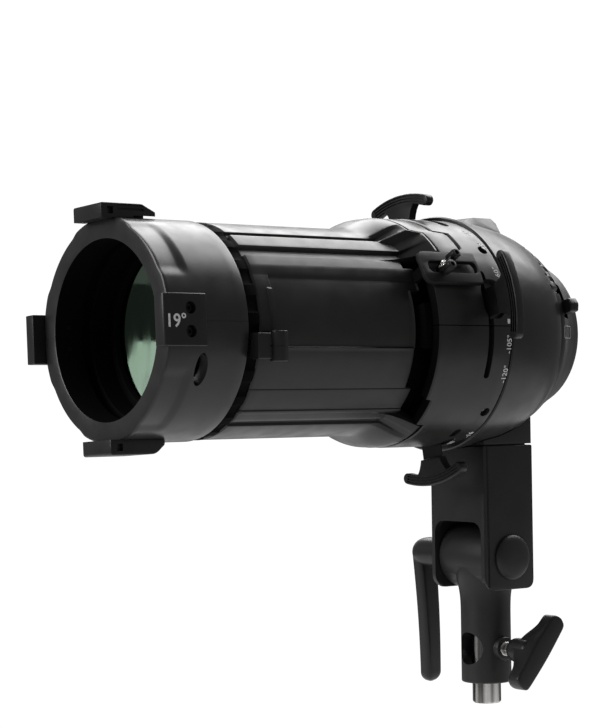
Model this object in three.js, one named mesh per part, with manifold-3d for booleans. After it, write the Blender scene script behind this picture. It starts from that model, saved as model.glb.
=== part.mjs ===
// Ellipsoidal spotlight attachment with framing shutters, on a tilt bracket and a 16 mm stand spigot.
// Millimetres, +Z up. The optical axis runs along Y and the front lens faces -Y.
// The origin is the centre of the spigot's lower face, and the pan axis is Z.
import * as THREE from 'three';
import { mergeVertices } from 'three/addons/utils/BufferGeometryUtils.js';
import Module from 'manifold-3d';

const wasm = await Module();
wasm.setup();

// ---------------------------------------------------------------- driving dimensions
const AXIS_Z = 206.6;            // height of the optical axis
const TILT_Z = 82.3;             // height of the tilt axis
const GAP = 0.4;                 // clearance between neighbouring pieces

const SPIGOT_R = 8;
const SOCKET_R = 8.4;
const RECEIVER_R = 14;
const RECEIVER_BOTTOM = 11.8;
const KNUCKLE_R = 18.2;
const KNUCKLE_HALF = 18.4;
const CLAMP_Z = 31.1;            // height of the receiver window and clamp screw
const WING_HALF = 23.4;          // half length of the clamp wing

const YOKE_HALF = 21.7;          // half width of the bracket across X
const YOKE_WALL = 2.8;
const YOKE_BACK = 17.1;
const YOKE_FRONT = -17.7;
const WEB_FRONT = -20.5;
const YOKE_TOP = 144.5;
const YOKE_BOTTOM = 64.4;
const WEB_BOTTOM = 102.4;

const RIM_Y = -253.8;            // front face of the lens tube
const TUBE_R = 56;
const TUBE_REAR = -206.4;
const RIM_HOLE_R = 45.3;
const SLEEVE_R = 48.4;           // lens sleeve that enters the barrel
const RING_FRONT = -206;
const RING_REAR = -199.6;
const BARREL_FRONT = -199.2;
const BARREL_R = 55.3;
const BARREL_BORE = 49.4;

const GATE_FRONT = -90;
const GATE_REAR = -38.2;
const GATE_BORE = 59.8;
const APERTURE_R = 21;

const BLADE_HALF = 22;
const NECK_HALF = 7.6;
const TURN_EACH_WAY = 18;        // swing of a shutter either side of its slot's centre, degrees

// Each shutter: slot centre and rest angle above +X (degrees), plane along Y,
// grip base radius when pushed home, distance pulled out at rest.
const SHUTTERS = {
  top: { slot: 90, angle: 97, plane: -50.6, base: 62.6, out: 0 },
  bottom: { slot: -90, angle: -80.5, plane: -48, base: 62.6, out: 6.5 },
  right: { slot: 3, angle: 13, plane: -53.2, base: 65.8, out: 7 },
  left: { slot: 180, angle: 188, plane: -45.4, base: 65.8, out: 2 },
};

// ---------------------------------------------------------------- materials
const surface = (color, roughness, metalness) =>
  new THREE.MeshStandardMaterial({ color, roughness, metalness });
const bodyBlack = () => surface(0x2b2a2c, 0.55, 0.1);
const rimGrey = () => surface(0x3a383d, 0.5, 0.1);
const gripBlack = () => surface(0x1d1d1e, 0.5, 0);
const castBlack = () => surface(0x242424, 0.6, 0.3);
const screwBlack = () => surface(0x151515, 0.4, 0.8);
const chrome = () => surface(0xd8d8da, 0.12, 1);
const steel = () => surface(0x77797c, 0.35, 1);
const darkAlloy = () => surface(0x1a1a1b, 0.5, 0.7);
const lensGlass = () => surface(0xbfe0cc, 0.05, 0);

// ---------------------------------------------------------------- solids: making, joining and cutting
const radians = (degrees) => degrees * Math.PI / 180;

function signedVolume(geometry) {
  const p = geometry.attributes.position;
  const index = geometry.index.array;
  const a = new THREE.Vector3();
  const b = new THREE.Vector3();
  const c = new THREE.Vector3();
  let sum = 0;
  for (let i = 0; i < index.length; i += 3) {
    a.fromBufferAttribute(p, index[i]);
    b.fromBufferAttribute(p, index[i + 1]);
    c.fromBufferAttribute(p, index[i + 2]);
    sum += a.dot(b.cross(c));
  }
  return sum / 6;
}

// Merged vertices, no collapsed triangles, faces pointing out.
function closed(geometry) {
  geometry.deleteAttribute('normal');
  geometry.deleteAttribute('uv');
  const merged = mergeVertices(geometry, 1e-3);
  const source = merged.index.array;
  const kept = [];
  for (let i = 0; i < source.length; i += 3) {
    const [a, b, c] = [source[i], source[i + 1], source[i + 2]];
    if (a !== b && b !== c && c !== a) kept.push(a, b, c);
  }
  merged.setIndex(kept);
  if (signedVolume(merged) < 0) {
    for (let i = 0; i < kept.length; i += 3) [kept[i], kept[i + 1]] = [kept[i + 1], kept[i]];
    merged.setIndex(kept);
  }
  return merged;
}

function toManifold(geometry) {
  const g = closed(geometry.clone());
  return new wasm.Manifold(new wasm.Mesh({
    numProp: 3,
    vertProperties: new Float32Array(g.attributes.position.array),
    triVerts: new Uint32Array(g.index.array),
  }));
}

function fromManifold(solid) {
  const mesh = solid.getMesh();
  const geometry = new THREE.BufferGeometry();
  geometry.setAttribute('position', new THREE.BufferAttribute(new Float32Array(mesh.vertProperties), 3));
  geometry.setIndex(new THREE.BufferAttribute(new Uint32Array(mesh.triVerts), 1));
  return geometry;
}

const combine = (how) => (first, ...rest) => {
  let solid = toManifold(first);
  for (const other of rest) solid = solid[how](toManifold(other));
  return fromManifold(solid);
};
const join = combine('add');
const cut = combine('subtract');
const common = combine('intersect');

// ---------------------------------------------------------------- primitive shapes
function box(x0, x1, y0, y1, z0, z1) {
  const geometry = new THREE.BoxGeometry(x1 - x0, y1 - y0, z1 - z0);
  return geometry.translate((x0 + x1) / 2, (y0 + y1) / 2, (z0 + z1) / 2);
}

// A cylinder along one axis; the two centre coordinates follow in the order x, y, z.
function rod(axis, radius, from, to, u, v, sides = 24) {
  const geometry = new THREE.CylinderGeometry(radius, radius, to - from, sides);
  const middle = (from + to) / 2;
  if (axis === 'x') return geometry.rotateZ(Math.PI / 2).translate(middle, u, v);
  if (axis === 'y') return geometry.translate(u, middle, v);
  return geometry.rotateX(Math.PI / 2).translate(u, v, middle);
}

const profile = (points) => points.map(([r, along]) => new THREE.Vector2(r, along));

// Turned about the optical axis; points are [radius, y].
function turnedY(points, sides = 48) {
  return new THREE.LatheGeometry(profile(points), sides).translate(0, 0, AXIS_Z);
}

// Turned about the stand axis; points are [radius, z].
function turnedZ(points, sides = 32) {
  return new THREE.LatheGeometry(profile(points), sides).rotateX(Math.PI / 2);
}

// Turned about a line along X; points are [radius, x].
function turnedX(points, y, z, sides = 28) {
  return new THREE.LatheGeometry(profile(points), sides).rotateZ(-Math.PI / 2).translate(0, y, z);
}

const hoop = (outer, inner, y0, y1, sides = 28) => turnedY(
  [[inner, y0], [outer, y0], [outer, y1], [inner, y1], [inner, y0]], sides);

function outline(points) {
  return new THREE.Shape(points.map(([a, b]) => new THREE.Vector2(a, b)));
}

const BASES = {
  x: new THREE.Matrix4().makeBasis(
    new THREE.Vector3(0, 1, 0), new THREE.Vector3(0, 0, 1), new THREE.Vector3(1, 0, 0)),
  y: new THREE.Matrix4().makeBasis(
    new THREE.Vector3(-1, 0, 0), new THREE.Vector3(0, 0, 1), new THREE.Vector3(0, 1, 0)),
};

// A flat shape extruded along X (drawn in y, z) or along Y (drawn in -x, z).
function prism(axis, shape, from, to, curveSegments = 8) {
  const geometry = new THREE.ExtrudeGeometry(shape, { depth: to - from, bevelEnabled: false, curveSegments });
  geometry.translate(0, 0, from);
  return geometry.applyMatrix4(BASES[axis]);
}

function roundedRectangle(a0, a1, b0, b1, r) {
  const shape = new THREE.Shape();
  shape.moveTo(a0 + r, b0);
  shape.lineTo(a1 - r, b0);
  shape.absarc(a1 - r, b0 + r, r, -Math.PI / 2, 0, false);
  shape.lineTo(a1, b1 - r);
  shape.absarc(a1 - r, b1 - r, r, 0, Math.PI / 2, false);
  shape.lineTo(a0 + r, b1);
  shape.absarc(a0 + r, b1 - r, r, Math.PI / 2, Math.PI, false);
  shape.lineTo(a0, b0 + r);
  shape.absarc(a0 + r, b0 + r, r, Math.PI, 1.5 * Math.PI, false);
  return shape;
}

// A shell round the optical axis. At each angle above +X, outer and inner give lists of
// [radius, y] from front to rear, of equal length; whole is true when the shell goes all round.
function polarShell(angles, outer, inner, whole = false) {
  const loops = angles.map((angle) => [...outer(angle), ...inner(angle).reverse()]);
  const count = loops[0].length;
  const points = [];
  const index = [];
  loops.forEach((loop, i) => {
    const c = Math.cos(radians(angles[i]));
    const s = Math.sin(radians(angles[i]));
    for (const [r, y] of loop) points.push(r * c, y, AXIS_Z + r * s);
  });
  const strips = whole ? loops.length : loops.length - 1;
  for (let i = 0; i < strips; i += 1) {
    const next = (i + 1) % loops.length;
    for (let k = 0; k < count; k += 1) {
      const [a, b] = [i * count + k, next * count + k];
      const [c, d] = [next * count + (k + 1) % count, i * count + (k + 1) % count];
      index.push(a, b, c, a, c, d);
    }
  }
  if (!whole) {
    const last = (loops.length - 1) * count;
    for (let k = 0; k < count / 2 - 1; k += 1) {
      const [a, b, c, d] = [k, k + 1, count - 2 - k, count - 1 - k];
      index.push(a, b, c, a, c, d);
      index.push(last + a, last + c, last + b, last + a, last + d, last + c);
    }
  }
  const geometry = new THREE.BufferGeometry();
  geometry.setAttribute('position', new THREE.BufferAttribute(new Float32Array(points), 3));
  geometry.setIndex(index);
  return geometry;
}

// Even angles from one value to another, ends included.
function spread(from, to, step) {
  const count = Math.max(1, Math.round(Math.abs(to - from) / step));
  return Array.from({ length: count + 1 }, (_, i) => from + (to - from) * i / count);
}

// Straight-line value between [angle, value] pairs.
function between(pairs, angle) {
  const last = pairs.findIndex(([a]) => a >= angle - 1e-9);
  if (last <= 0) return pairs[last < 0 ? pairs.length - 1 : 0][1];
  const [a0, v0] = pairs[last - 1];
  const [a1, v1] = pairs[last];
  return v0 + (v1 - v0) * (angle - a0) / (a1 - a0);
}

// Angle folded onto the +X half, between -90 and 90 degrees: left and right are alike.
function folded(angle) {
  const turned = ((angle + 180) % 360 + 360) % 360 - 180;
  if (turned > 90) return 180 - turned;
  if (turned < -90) return -180 - turned;
  return turned;
}

// ---------------------------------------------------------------- the assembly
const assembly = new THREE.Group();

function piece(name, geometry, material, parent = assembly) {
  const mesh = new THREE.Mesh(closed(geometry), material);
  mesh.name = name;
  parent.add(mesh);
  return mesh;
}

// ---------------------------------------------------------------- stand, receiver and clamp screw
function spigot() {
  return turnedZ([[0, 0], [SPIGOT_R - 0.6, 0], [SPIGOT_R, 0.6], [SPIGOT_R, 56], [SPIGOT_R - 1.5, 58],
    [0, 58]]);
}

function receiver() {
  const flare = [[15.2, 66], [17.6, 72], [17.6, TILT_Z]];
  const stem = turnedZ([[0, RECEIVER_BOTTOM], [RECEIVER_R - 0.6, RECEIVER_BOTTOM],
    [RECEIVER_R, RECEIVER_BOTTOM + 0.6], [RECEIVER_R, 60], ...flare, [0, TILT_Z]]);
  const knuckle = rod('x', KNUCKLE_R, -KNUCKLE_HALF, KNUCKLE_HALF, 0, TILT_Z, 40);
  const boss = rod('x', 6.5, 10, 16.2, 0, CLAMP_Z);
  const socket = rod('z', SOCKET_R, RECEIVER_BOTTOM - 1, 58.6, 0, 0);
  const window = rod('y', 9, -20, 0, 0, CLAMP_Z);
  const screwHole = rod('x', 4.3, 0, 20, 0, CLAMP_Z, 24);
  const boltHole = rod('x', 5.4, -20, 20, 0, TILT_Z);
  return cut(join(stem, knuckle, boss), socket, window, screwHole, boltHole);
}

function clampScrew() {
  return turnedX([[0, 8.7], [3.2, 8.7], [3.9, 9.6], [3.9, 21.4], [0, 21.4]], 0, CLAMP_Z, 24);
}

function clampWing() {
  const hub = turnedX([[0, 21.7], [6, 21.7], [6.8, 23], [6.8, 34], [6.8, 43.6], [0, 44.6]], 0, CLAMP_Z, 24);
  const side = spread(0, 180, 12).map((turn) => {
    const along = Math.cos(radians(turn));
    const half = (5.2 + 1.4 * (1 - along * along)) * (1 - along ** 8) ** 0.5;
    return [half, WING_HALF * along];
  });
  const wing = outline([...side, ...side.slice(1, -1).reverse().map(([a, b]) => [-a, b])]);
  const blade = prism('x', wing, 33.5, 44.2).rotateX(radians(-45)).translate(0, 0, CLAMP_Z);
  return join(hub, blade);
}

// ---------------------------------------------------------------- tilt bracket and lever
function yokeBracket() {
  const sideShape = roundedRectangle(YOKE_FRONT, YOKE_BACK, YOKE_BOTTOM, YOKE_TOP, 5);
  const plates = [-1, 1].map((side) => {
    const inner = side * (YOKE_HALF - YOKE_WALL);
    const outer = side * YOKE_HALF;
    return prism('x', sideShape, Math.min(inner, outer), Math.max(inner, outer));
  });
  const top = box(-YOKE_HALF, YOKE_HALF, YOKE_FRONT, YOKE_BACK - 2, YOKE_TOP - 3.4, YOKE_TOP);
  const front = box(-YOKE_HALF, YOKE_HALF, WEB_FRONT, YOKE_FRONT + 1, WEB_BOTTOM, YOKE_TOP);
  const back = box(-YOKE_HALF, YOKE_HALF, YOKE_BACK - 2.6, YOKE_BACK, WEB_BOTTOM, YOKE_TOP - 2);
  const lip = [-1, 1].map((side) => box(
    Math.min(side * (YOKE_HALF - YOKE_WALL), side * YOKE_HALF),
    Math.max(side * (YOKE_HALF - YOKE_WALL), side * YOKE_HALF),
    WEB_FRONT, YOKE_FRONT + 6, YOKE_BOTTOM + 5, WEB_BOTTOM + 1));
  const bore = rod('x', 5.6, -30, 30, 0, TILT_Z);
  const screwHole = rod('z', 4.6, YOKE_TOP - 8, YOKE_TOP + 2, 0, 0);
  return cut(join(...plates, top, front, back, ...lip), bore, screwHole, rearCutter(0.8));
}

function tiltBolt() {
  return turnedX([[0, -24], [4.9, -24], [4.9, YOKE_HALF + GAP], [12.5, YOKE_HALF + GAP],
    [12.5, YOKE_HALF + 1.2], [10.5, YOKE_HALF + 2.8], [6, YOKE_HALF + 3.8], [0, YOKE_HALF + 4.1]], 0, TILT_Z);
}

function saddleScrew() {
  return turnedZ([[0, 134], [3, 134], [6.6, 134.6], [6.6, 140.6], [4, 140.8], [4, 146.4], [0, 146.4]], 20);
}

function saddleBlock() {
  const block = box(-YOKE_HALF, YOKE_HALF, WEB_FRONT + 0.6, YOKE_BACK - 0.5, YOKE_TOP + 0.8, 175);
  const thread = rod('z', 4.4, 140, 160, 0, 0);
  return cut(block, rearCutter(GAP + 0.2), thread);
}

function tiltLever() {
  const hub = turnedX([[0, -YOKE_HALF - 2.8], [9, -YOKE_HALF - 2.8], [8.6, -48], [7.4, -53.4],
    [4.6, -56.4], [0, -57.4]], 0, TILT_Z, 24);
  const arm = new THREE.Shape();
  arm.moveTo(-48.8, 0);
  arm.quadraticCurveTo(-46.4, -37, -48.2, -70);
  arm.absarc(-51.6, -70, 3.4, 0, -Math.PI, true);
  arm.quadraticCurveTo(-53, -37, -56, 0);
  const full = new THREE.ExtrudeGeometry(arm, { depth: 14, bevelEnabled: false, curveSegments: 8 });
  full.translate(0, 0, -7).rotateX(Math.PI / 2);
  const sides = outline([[-7, 0], [-5.4, -71], [-3.5, -74], [3.5, -74], [5.4, -71], [7, 0]]);
  const taper = prism('x', sides, -60, -40);
  const swung = common(full, taper).rotateX(radians(5)).translate(0, 0, TILT_Z);
  return join(hub, swung);
}

// ---------------------------------------------------------------- rear housing and lamp mount
const REAR_REAR = 9;
const REAR_PROFILE = [[65, -37.8], [63, -22], [60.6, -8], [57.6, 2], [54.8, REAR_REAR]];
const COLLAR_PROFILE = [[53.4, 9.4], [52.2, 14], [47.6, 21.5], [43.4, 29.5], [40.4, 36]];

function rearBody() {
  return turnedY([[0, -37.8], ...REAR_PROFILE, [0, REAR_REAR]], 56);
}

// Solid that stands for the rear housing and collar when a neighbour is cut round them.
function rearCutter(clearance) {
  const skin = [...REAR_PROFILE, ...COLLAR_PROFILE.slice(1, 3)].map(([r, y]) => [r + clearance, y]);
  return turnedY([[0, -37.8], ...skin, [0, 21.5]]);
}

// Squared block over the rear housing, with bevelled flanks and a sloping front.
function crownBlock() {
  const section = outline([[-30, 52.6], [-17.6, 63.8], [17.6, 63.8], [30, 52.6], [24, 45], [-24, 45]]);
  const block = prism('y', section, -34, -7).translate(0, 0, AXIS_Z);
  const side = outline([[-35, 30], [-35, 60.5], [-20, 64.4], [-9.5, 64.4], [-7, 61], [-7, 30]]);
  const slope = prism('x', side, -60, 60);
  return common(block, slope.translate(0, 0, AXIS_Z));
}

function rearHousing() {
  const hollow = turnedY([[0, -40], [61.6, -40], [61.6, -34], [58, -8], [51.6, REAR_REAR + 1],
    [0, REAR_REAR + 1]]);
  return cut(join(rearBody(), crownBlock()), hollow);
}

// The collar's front edge is knurled round the top and smooth round the bottom.
function rearCollar() {
  const inner = [[49.6, 9.4], [49.6, 13], [45, 20.5], [41, 28.5], [38.2, 36]];
  const shell = polarShell(spread(0, 352.5, 7.5), () => COLLAR_PROFILE.map((p) => [...p]),
    () => inner.map((p) => [...p]), true);
  const valleys = spread(26, 154, 8).map((angle) => box(50.6, 60, 5, 15.6, -1.7, 1.7)
    .rotateY(radians(-angle)).translate(0, 0, AXIS_Z));
  const leverSlot = polarShell(spread(9, 33, 6),
    () => [[70, 14.8], [70, 21.8]], () => [[36, 14.8], [36, 21.8]]);
  return cut(shell, ...valleys, leverSlot);
}

// Lever of the mount lock: a thumb tab outside the collar on an arc-shaped shoe inside it.
function releaseLever() {
  const shoe = polarShell(spread(4, 27, 5),
    () => [[43.8, 14.6], [42.2, 20.6]], () => [[40.6, 14.6], [39, 20.6]]);
  const stem = box(42, 51.5, 16.4, 20.4, -2.6, 2.6).rotateY(radians(-15.5)).translate(0, 0, AXIS_Z);
  const thumb = outline([[-50.6, -3.8], [-56.6, -3.8], [-58, 0], [-56.6, 3.8], [-50.6, 3.8]]);
  const tab = prism('y', thumb, 15.4, 21.4);
  return join(shoe, stem, tab.rotateY(radians(-15.5)).translate(0, 0, AXIS_Z));
}

function mountFlange() {
  const ring = turnedY([[26, 21.6], [38.4, 21.6], [38.4, 24], [30.8, 24], [30.8, 34], [26, 34],
    [26, 21.6]], 36);
  const lugs = [30, 150, 270].map((angle) => polarShell(spread(angle - 16, angle + 16, 8),
    () => [[34.4, 29.6], [34.4, 32.4]], () => [[30.4, 29.6], [30.4, 32.4]]));
  return join(ring, ...lugs);
}

function condenserCell() {
  return turnedY([[31, -37.2], [58.8, -37.2], [57, -33.8], [34, -33.8], [34, 8], [31, 8], [31, -14.2],
    [28.6, -14.2], [28.6, -25.6], [31, -25.6], [31, -37.2]], 36);
}

// A lens standing on the optical axis; the signed bulges push its front and rear faces out.
function lens(radius, y0, y1, frontBulge, rearBulge, sides = 28) {
  const steps = [0, 0.4, 0.75, 1];
  const front = steps.map((t) => [radius * t, y0 - frontBulge * (1 - t * t)]);
  const rear = [...steps].reverse().map((t) => [radius * t, y1 + rearBulge * (1 - t * t)]);
  return turnedY([...front, ...rear], sides);
}

// ---------------------------------------------------------------- gate housing
const GATE_TOP = [[2.6, 64.8], [38.4, 64.8], [39.6, 64.9], [56, 64.4], [73, 63.2], [90, 62]];
const GATE_UNDER = [[-90, 61.8], [-73, 63], [-56, 64.6], [-48, 64.8], [2, 64.8]];

const gateRadius = (angle) => {
  const side = folded(angle);
  return side >= 2.3 ? between(GATE_TOP, side) : between(GATE_UNDER, side);
};

function gateFront(angle) {
  const side = folded(angle);
  if (side >= 56.6) return -68.6;
  if (side > 38.8) return between([[38.8, -65], [42.6, -59.2], [54.6, -59.2], [56.6, -68.6]], side);
  if (side < -50) return -81.2;
  if (side < -34.4) return -86.6;
  return GATE_FRONT;
}

function gateShell(angles) {
  return polarShell(angles, (angle) => {
    const r = gateRadius(angle);
    const y = gateFront(angle);
    return [[r - 1.4, y], [r, y + 1.6], [r, GATE_REAR - 1], [r - 0.6, GATE_REAR]];
  }, (angle) => {
    const y = gateFront(angle);
    return [[GATE_BORE, y], [GATE_BORE, y + 1.6], [GATE_BORE, GATE_REAR - 1], [GATE_BORE, GATE_REAR]];
  });
}

// Slot through the housing wall in which a shutter's neck swings, with room outside it for the grip's foot.
function shutterSlot({ slot, plane, base }) {
  const reach = TURN_EACH_WAY + 8.2;
  const angles = spread(slot - reach, slot + reach, 5);
  const band = (from, half) => polarShell(angles,
    () => [[70, plane - half], [70, plane + half]], () => [[from, plane - half], [from, plane + half]]);
  return join(band(56, 1.9), band(base - 0.6, 2.9));
}

const allSlots = () => Object.values(SHUTTERS).map(shutterSlot);

function gateScrewHoles(sign) {
  const angle = 42;
  return [angle, 180 - angle].map((side) => rod('x', 2.6, 56, 70, 0, 0, 16)
    .translate(0, -43.4, 0).rotateY(radians(-side * sign)).translate(0, 0, AXIS_Z));
}

function gateScrew(angle) {
  const profile = [[0, 59.9], [1.4, 59.9], [1.4, 60.6], [2.2, 61.2], [2.2, 62.8], [0, 62.8]];
  const screw = turnedX(profile, -43.4, 0, 10);
  return screw.rotateY(radians(-angle)).translate(0, 0, AXIS_Z);
}

const UPPER_ANGLES = [2.6, ...spread(8, 38.4, 6), 39.2, 42.6, 48, 54.6, 56.6, 61, 67, 73, 81.5, 90];
const UNDER_ANGLES = [2, -4, -10, -16, -22, -28, -33.8, -34.6, -42, -49.6, -50.4,
  -56, -64.5, -73, -81.5, -90];

// A list of angles up to the vertical, carried on down the other side.
const mirrored = (angles, vertical) => [...angles,
  ...angles.filter((angle) => Math.abs(angle) < 89.9).reverse().map((angle) => 2 * vertical - angle)];

// Pocket in the housing wall round the right shutter's stem.
const stemRecess = () => polarShell(spread(4.6, 25.4, 5.2),
  () => [[70, -57.4], [70, -41.4]], () => [[62, -56.4], [62, -42.4]]);

const focusScrewHole = () => rod('x', 2.6, 56, 70, FOCUS_SCREW_Y, 0, 16)
  .rotateY(radians(-FOCUS_ANGLE)).translate(0, 0, AXIS_Z);

function gateUpper() {
  return cut(gateShell(mirrored(UPPER_ANGLES, 90)), ...allSlots(), ...gateScrewHoles(1), focusScrewHole(),
    lidBead(2.1, 0.6), stemRecess());
}

function gateLower() {
  return cut(gateShell(mirrored(UNDER_ANGLES, -90)), ...allSlots(), ...gateScrewHoles(-1));
}

// Tube that the barrel slides on, its mounting flange and the key block in the gap.
function guideTube() {
  const profile = [[46, -122], [48.8, -122], [48.8, -79], [58.8, -79], [58.8, -77], [46, -77], [46, -122]];
  const tube = turnedY(profile);
  const key = polarShell(spread(-9.5, 13.5, 4), () => [[59.2, -94.4], [59.2, -78]],
    () => [[50.4, -94.4], [50.4, -78]]);
  return join(tube, key);
}

const gatePlate = (y0, y1) => hoop(GATE_BORE - GAP, APERTURE_R, y0, y1);

// Lid over the drop-in gobo slot, with its hinge bead along the left edge.
const LID_HINGE = 140.5;
const LID_HINGE_R = 65;

function lidBead(radius, extra) {
  return rod('y', radius, -74.4 - extra, -62 + extra, LID_HINGE_R * Math.cos(radians(LID_HINGE)),
    AXIS_Z + LID_HINGE_R * Math.sin(radians(LID_HINGE)), 16);
}

function slotCover() {
  const side = [39.8, 42.6, 48, 54.6, 56.8, 61, 67, 73];
  const angles = [...side, 90, ...side.filter((a) => a > 40).reverse().map((a) => 180 - a), 139.9];
  const front = (angle) => between([[39, -75.4], [54.4, -75.4], [56.8, -83.6], [91, -83.6]], folded(angle));
  const rear = (angle) => between([[39, -66], [42.6, -60.2], [54.4, -60.2], [56.8, -69.6], [91, -69.6]],
    folded(angle));
  const lid = polarShell(angles,
    (angle) => [[gateRadius(angle) - 0.4, front(angle)], [gateRadius(angle) - 0.4, rear(angle)]],
    (angle) => [[gateRadius(angle) - 2.9, front(angle)], [gateRadius(angle) - 2.9, rear(angle)]]);
  return join(lid, lidBead(1.5, 0));
}

// ---------------------------------------------------------------- framing shutters
// Drawn upright (radius along +Z) and turned to the shutter's angle about the optical axis.
function shutterFrame({ angle }) {
  const frame = new THREE.Group();
  frame.position.z = AXIS_Z;
  frame.rotation.y = radians(90 - angle);
  assembly.add(frame);
  return frame;
}

function shutterCarrier({ plane }) {
  const disc = turnedY([[22, plane - 1.7], [58.8, plane - 1.7], [58.8, plane - 0.7], [22, plane - 0.7],
    [22, plane - 1.7]], 28).translate(0, 0, -AXIS_Z);
  const rails = [-1, 1].map((side) => box(
    Math.min(side * 22.6, side * 24.8), Math.max(side * 22.6, side * 24.8),
    plane - 1.2, plane + 0.4, 18, 51));
  return join(disc, ...rails);
}

function shutterBlade({ plane, base, out }) {
  const inner = -2 + out;
  const shoulder = inner + 26;
  const shape = outline([[-BLADE_HALF, inner], [BLADE_HALF, inner], [BLADE_HALF, shoulder],
    [NECK_HALF, shoulder + 3], [NECK_HALF, base + out - 0.3], [-NECK_HALF, base + out - 0.3],
    [-NECK_HALF, shoulder + 3], [-BLADE_HALF, shoulder]]);
  return prism('y', shape, plane - 0.4, plane + 0.4);
}

// Anchor-shaped grip: a neck that opens into a bar bent round the housing.
function shutterGrip({ plane, base, out }) {
  const low = base + out;
  const high = low + 14.8;
  const outerR = 66;
  const innerR = 60;
  const middleR = (outerR + innerR) / 2;
  const centre = high - outerR;
  const tip = 21.4 / middleR;
  const shape = new THREE.Shape();
  const neck = NECK_HALF + 0.4;
  shape.moveTo(-neck, low);
  shape.lineTo(neck, low);
  shape.quadraticCurveTo(neck + 0.4, low + 7.2, neck + 4, low + 8.1);
  shape.absarc(0, centre, innerR, Math.PI / 2 - (neck + 4) / innerR, Math.PI / 2 - tip, true);
  const [ex, ey] = [middleR * Math.sin(tip), centre + middleR * Math.cos(tip)];
  shape.absarc(ex, ey, 3, -Math.PI / 2 - tip, Math.PI / 2 - tip, false);
  shape.absarc(0, centre, outerR, Math.PI / 2 - tip, Math.PI / 2 + tip, false);
  shape.absarc(-ex, ey, 3, Math.PI / 2 + tip, 1.5 * Math.PI + tip, false);
  shape.absarc(0, centre, innerR, Math.PI / 2 + tip, Math.PI / 2 + (neck + 4) / innerR, true);
  shape.quadraticCurveTo(-neck - 0.4, low + 7.2, -neck, low);
  return prism('y', shape, plane - 2.5, plane + 2.5, 6);
}

// ---------------------------------------------------------------- barrel
const BARREL_SIDE = [
  [-90, 55.2], [-61, 55.2], [-60.6, 53.8], [-56.6, 53.8], [-56.2, 55.2], [-49.4, 55.2],
  [-49, 56], [-47.2, 56], [-46.8, 55.3], [-33.2, 55.3], [-10.9, 55.3], [-10, 54.4],
  [28.5, 54.4], [33.8, 56], [40.6, 56], [41.4, 53.6],
  [47.4, 53.6], [48.2, 56], [57.2, 56], [57.8, 53.8], [61.4, 53.8], [62, 55.4], [90, 55.4],
];

const barrelRadius = (angle) => between(BARREL_SIDE, folded(angle));

function barrelRear(angle) {
  const side = folded(angle);
  if (side >= 56.4) return -84.8;
  if (side >= 40.5) return between([[40.4, -76.4], [54.2, -76.4], [56.4, -84.8]], side);
  if (side <= -51.1) return -82.6;
  if (side <= -33.1) return -93.6;
  if (angle > 22 && angle < 35) return GATE_FRONT - 1;
  return -97.6;
}

// How far the rear end of the barrel flares out towards the gate housing.
function barrelFlare(angle) {
  const side = folded(angle);
  if (side >= 40.5) return gateRadius(angle) - 0.3;
  if (side <= -51.1) return gateRadius(angle) - 0.3;
  return barrelRadius(angle);
}

function barrelShell(angles) {
  return polarShell(angles, (angle) => {
    const r = barrelRadius(angle);
    const rear = barrelRear(angle);
    const flare = barrelFlare(angle);
    const start = rear - 15;
    return [[r - 0.9, BARREL_FRONT], [r, BARREL_FRONT + 1], [r, start],
      [r + (flare - r) * 0.8, rear - 5], [flare, rear]];
  }, (angle) => {
    const rear = barrelRear(angle);
    const hollow = Math.max(0, barrelFlare(angle) - barrelRadius(angle) - 0.5);
    return [[BARREL_BORE, BARREL_FRONT], [BARREL_BORE, BARREL_FRONT + 1], [BARREL_BORE, rear - 15],
      [BARREL_BORE + (hollow > 0 ? hollow * 0.8 + 2.2 : 0), rear - 5],
      [BARREL_BORE + (hollow > 0 ? hollow + 3.4 : 0), rear]];
  });
}

const BARREL_UPPER_ANGLES = [-9.8, -3.4, 3, 9.4, 15.8, 21.8, 22.1, 28.5, 33.8, 35.2, 40.3, 40.6, 41.4,
  47.4, 48.2, 53, 54.2, 56.4, 57.2, 57.8, 61.4, 62, ...spread(67, 90, 6)];
const BARREL_LOWER_ANGLES = [-10.6, -18, -25.6, -33, -33.3, -40, -46.8, -47.2, -49, -49.4, -51, -51.2,
  -56.2, -56.6, -60.6, -61, ...spread(-66, -90, 6)];

// ---------------------------------------------------------------- lens tube
const TUBE_TURN = 3;             // the lens tube sits turned by this many degrees
const TUBE_SEAM = 0.4;

// Shallow pockets behind the rim between the four clips.
function rimPocket(angle) {
  const quadrant = (((angle - TUBE_TURN) % 90) + 90) % 90;
  return quadrant > 22.5 && quadrant < 67.5 ? 1 : 0;
}

function tubeShell(from, to) {
  const marks = [22, 23, 67, 68].flatMap((a) => [a - 180, a - 90, a, a + 90]).map((a) => a + TUBE_TURN);
  const angles = [...spread(from, to, 7.5), ...marks.filter((a) => a > from + 0.3 && a < to - 0.3)];
  angles.sort((a, b) => a - b);
  const distinct = angles.filter((a, i) => i === 0 || a - angles[i - 1] > 0.4);
  return polarShell(distinct, (angle) => {
    const dip = rimPocket(angle);
    return [[TUBE_R - 1.2 - dip, RIM_Y], [TUBE_R - dip, RIM_Y + 1], [TUBE_R - dip, RIM_Y + 12],
      [TUBE_R, RIM_Y + 14], [TUBE_R, TUBE_REAR]];
  }, () => [[RIM_HOLE_R, RIM_Y], [RIM_HOLE_R, RIM_Y + 3], [RIM_HOLE_R, RIM_Y + 16],
    [RIM_HOLE_R + 3.4, RIM_Y + 20], [RIM_HOLE_R + 3.4, TUBE_REAR]]);
}

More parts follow.
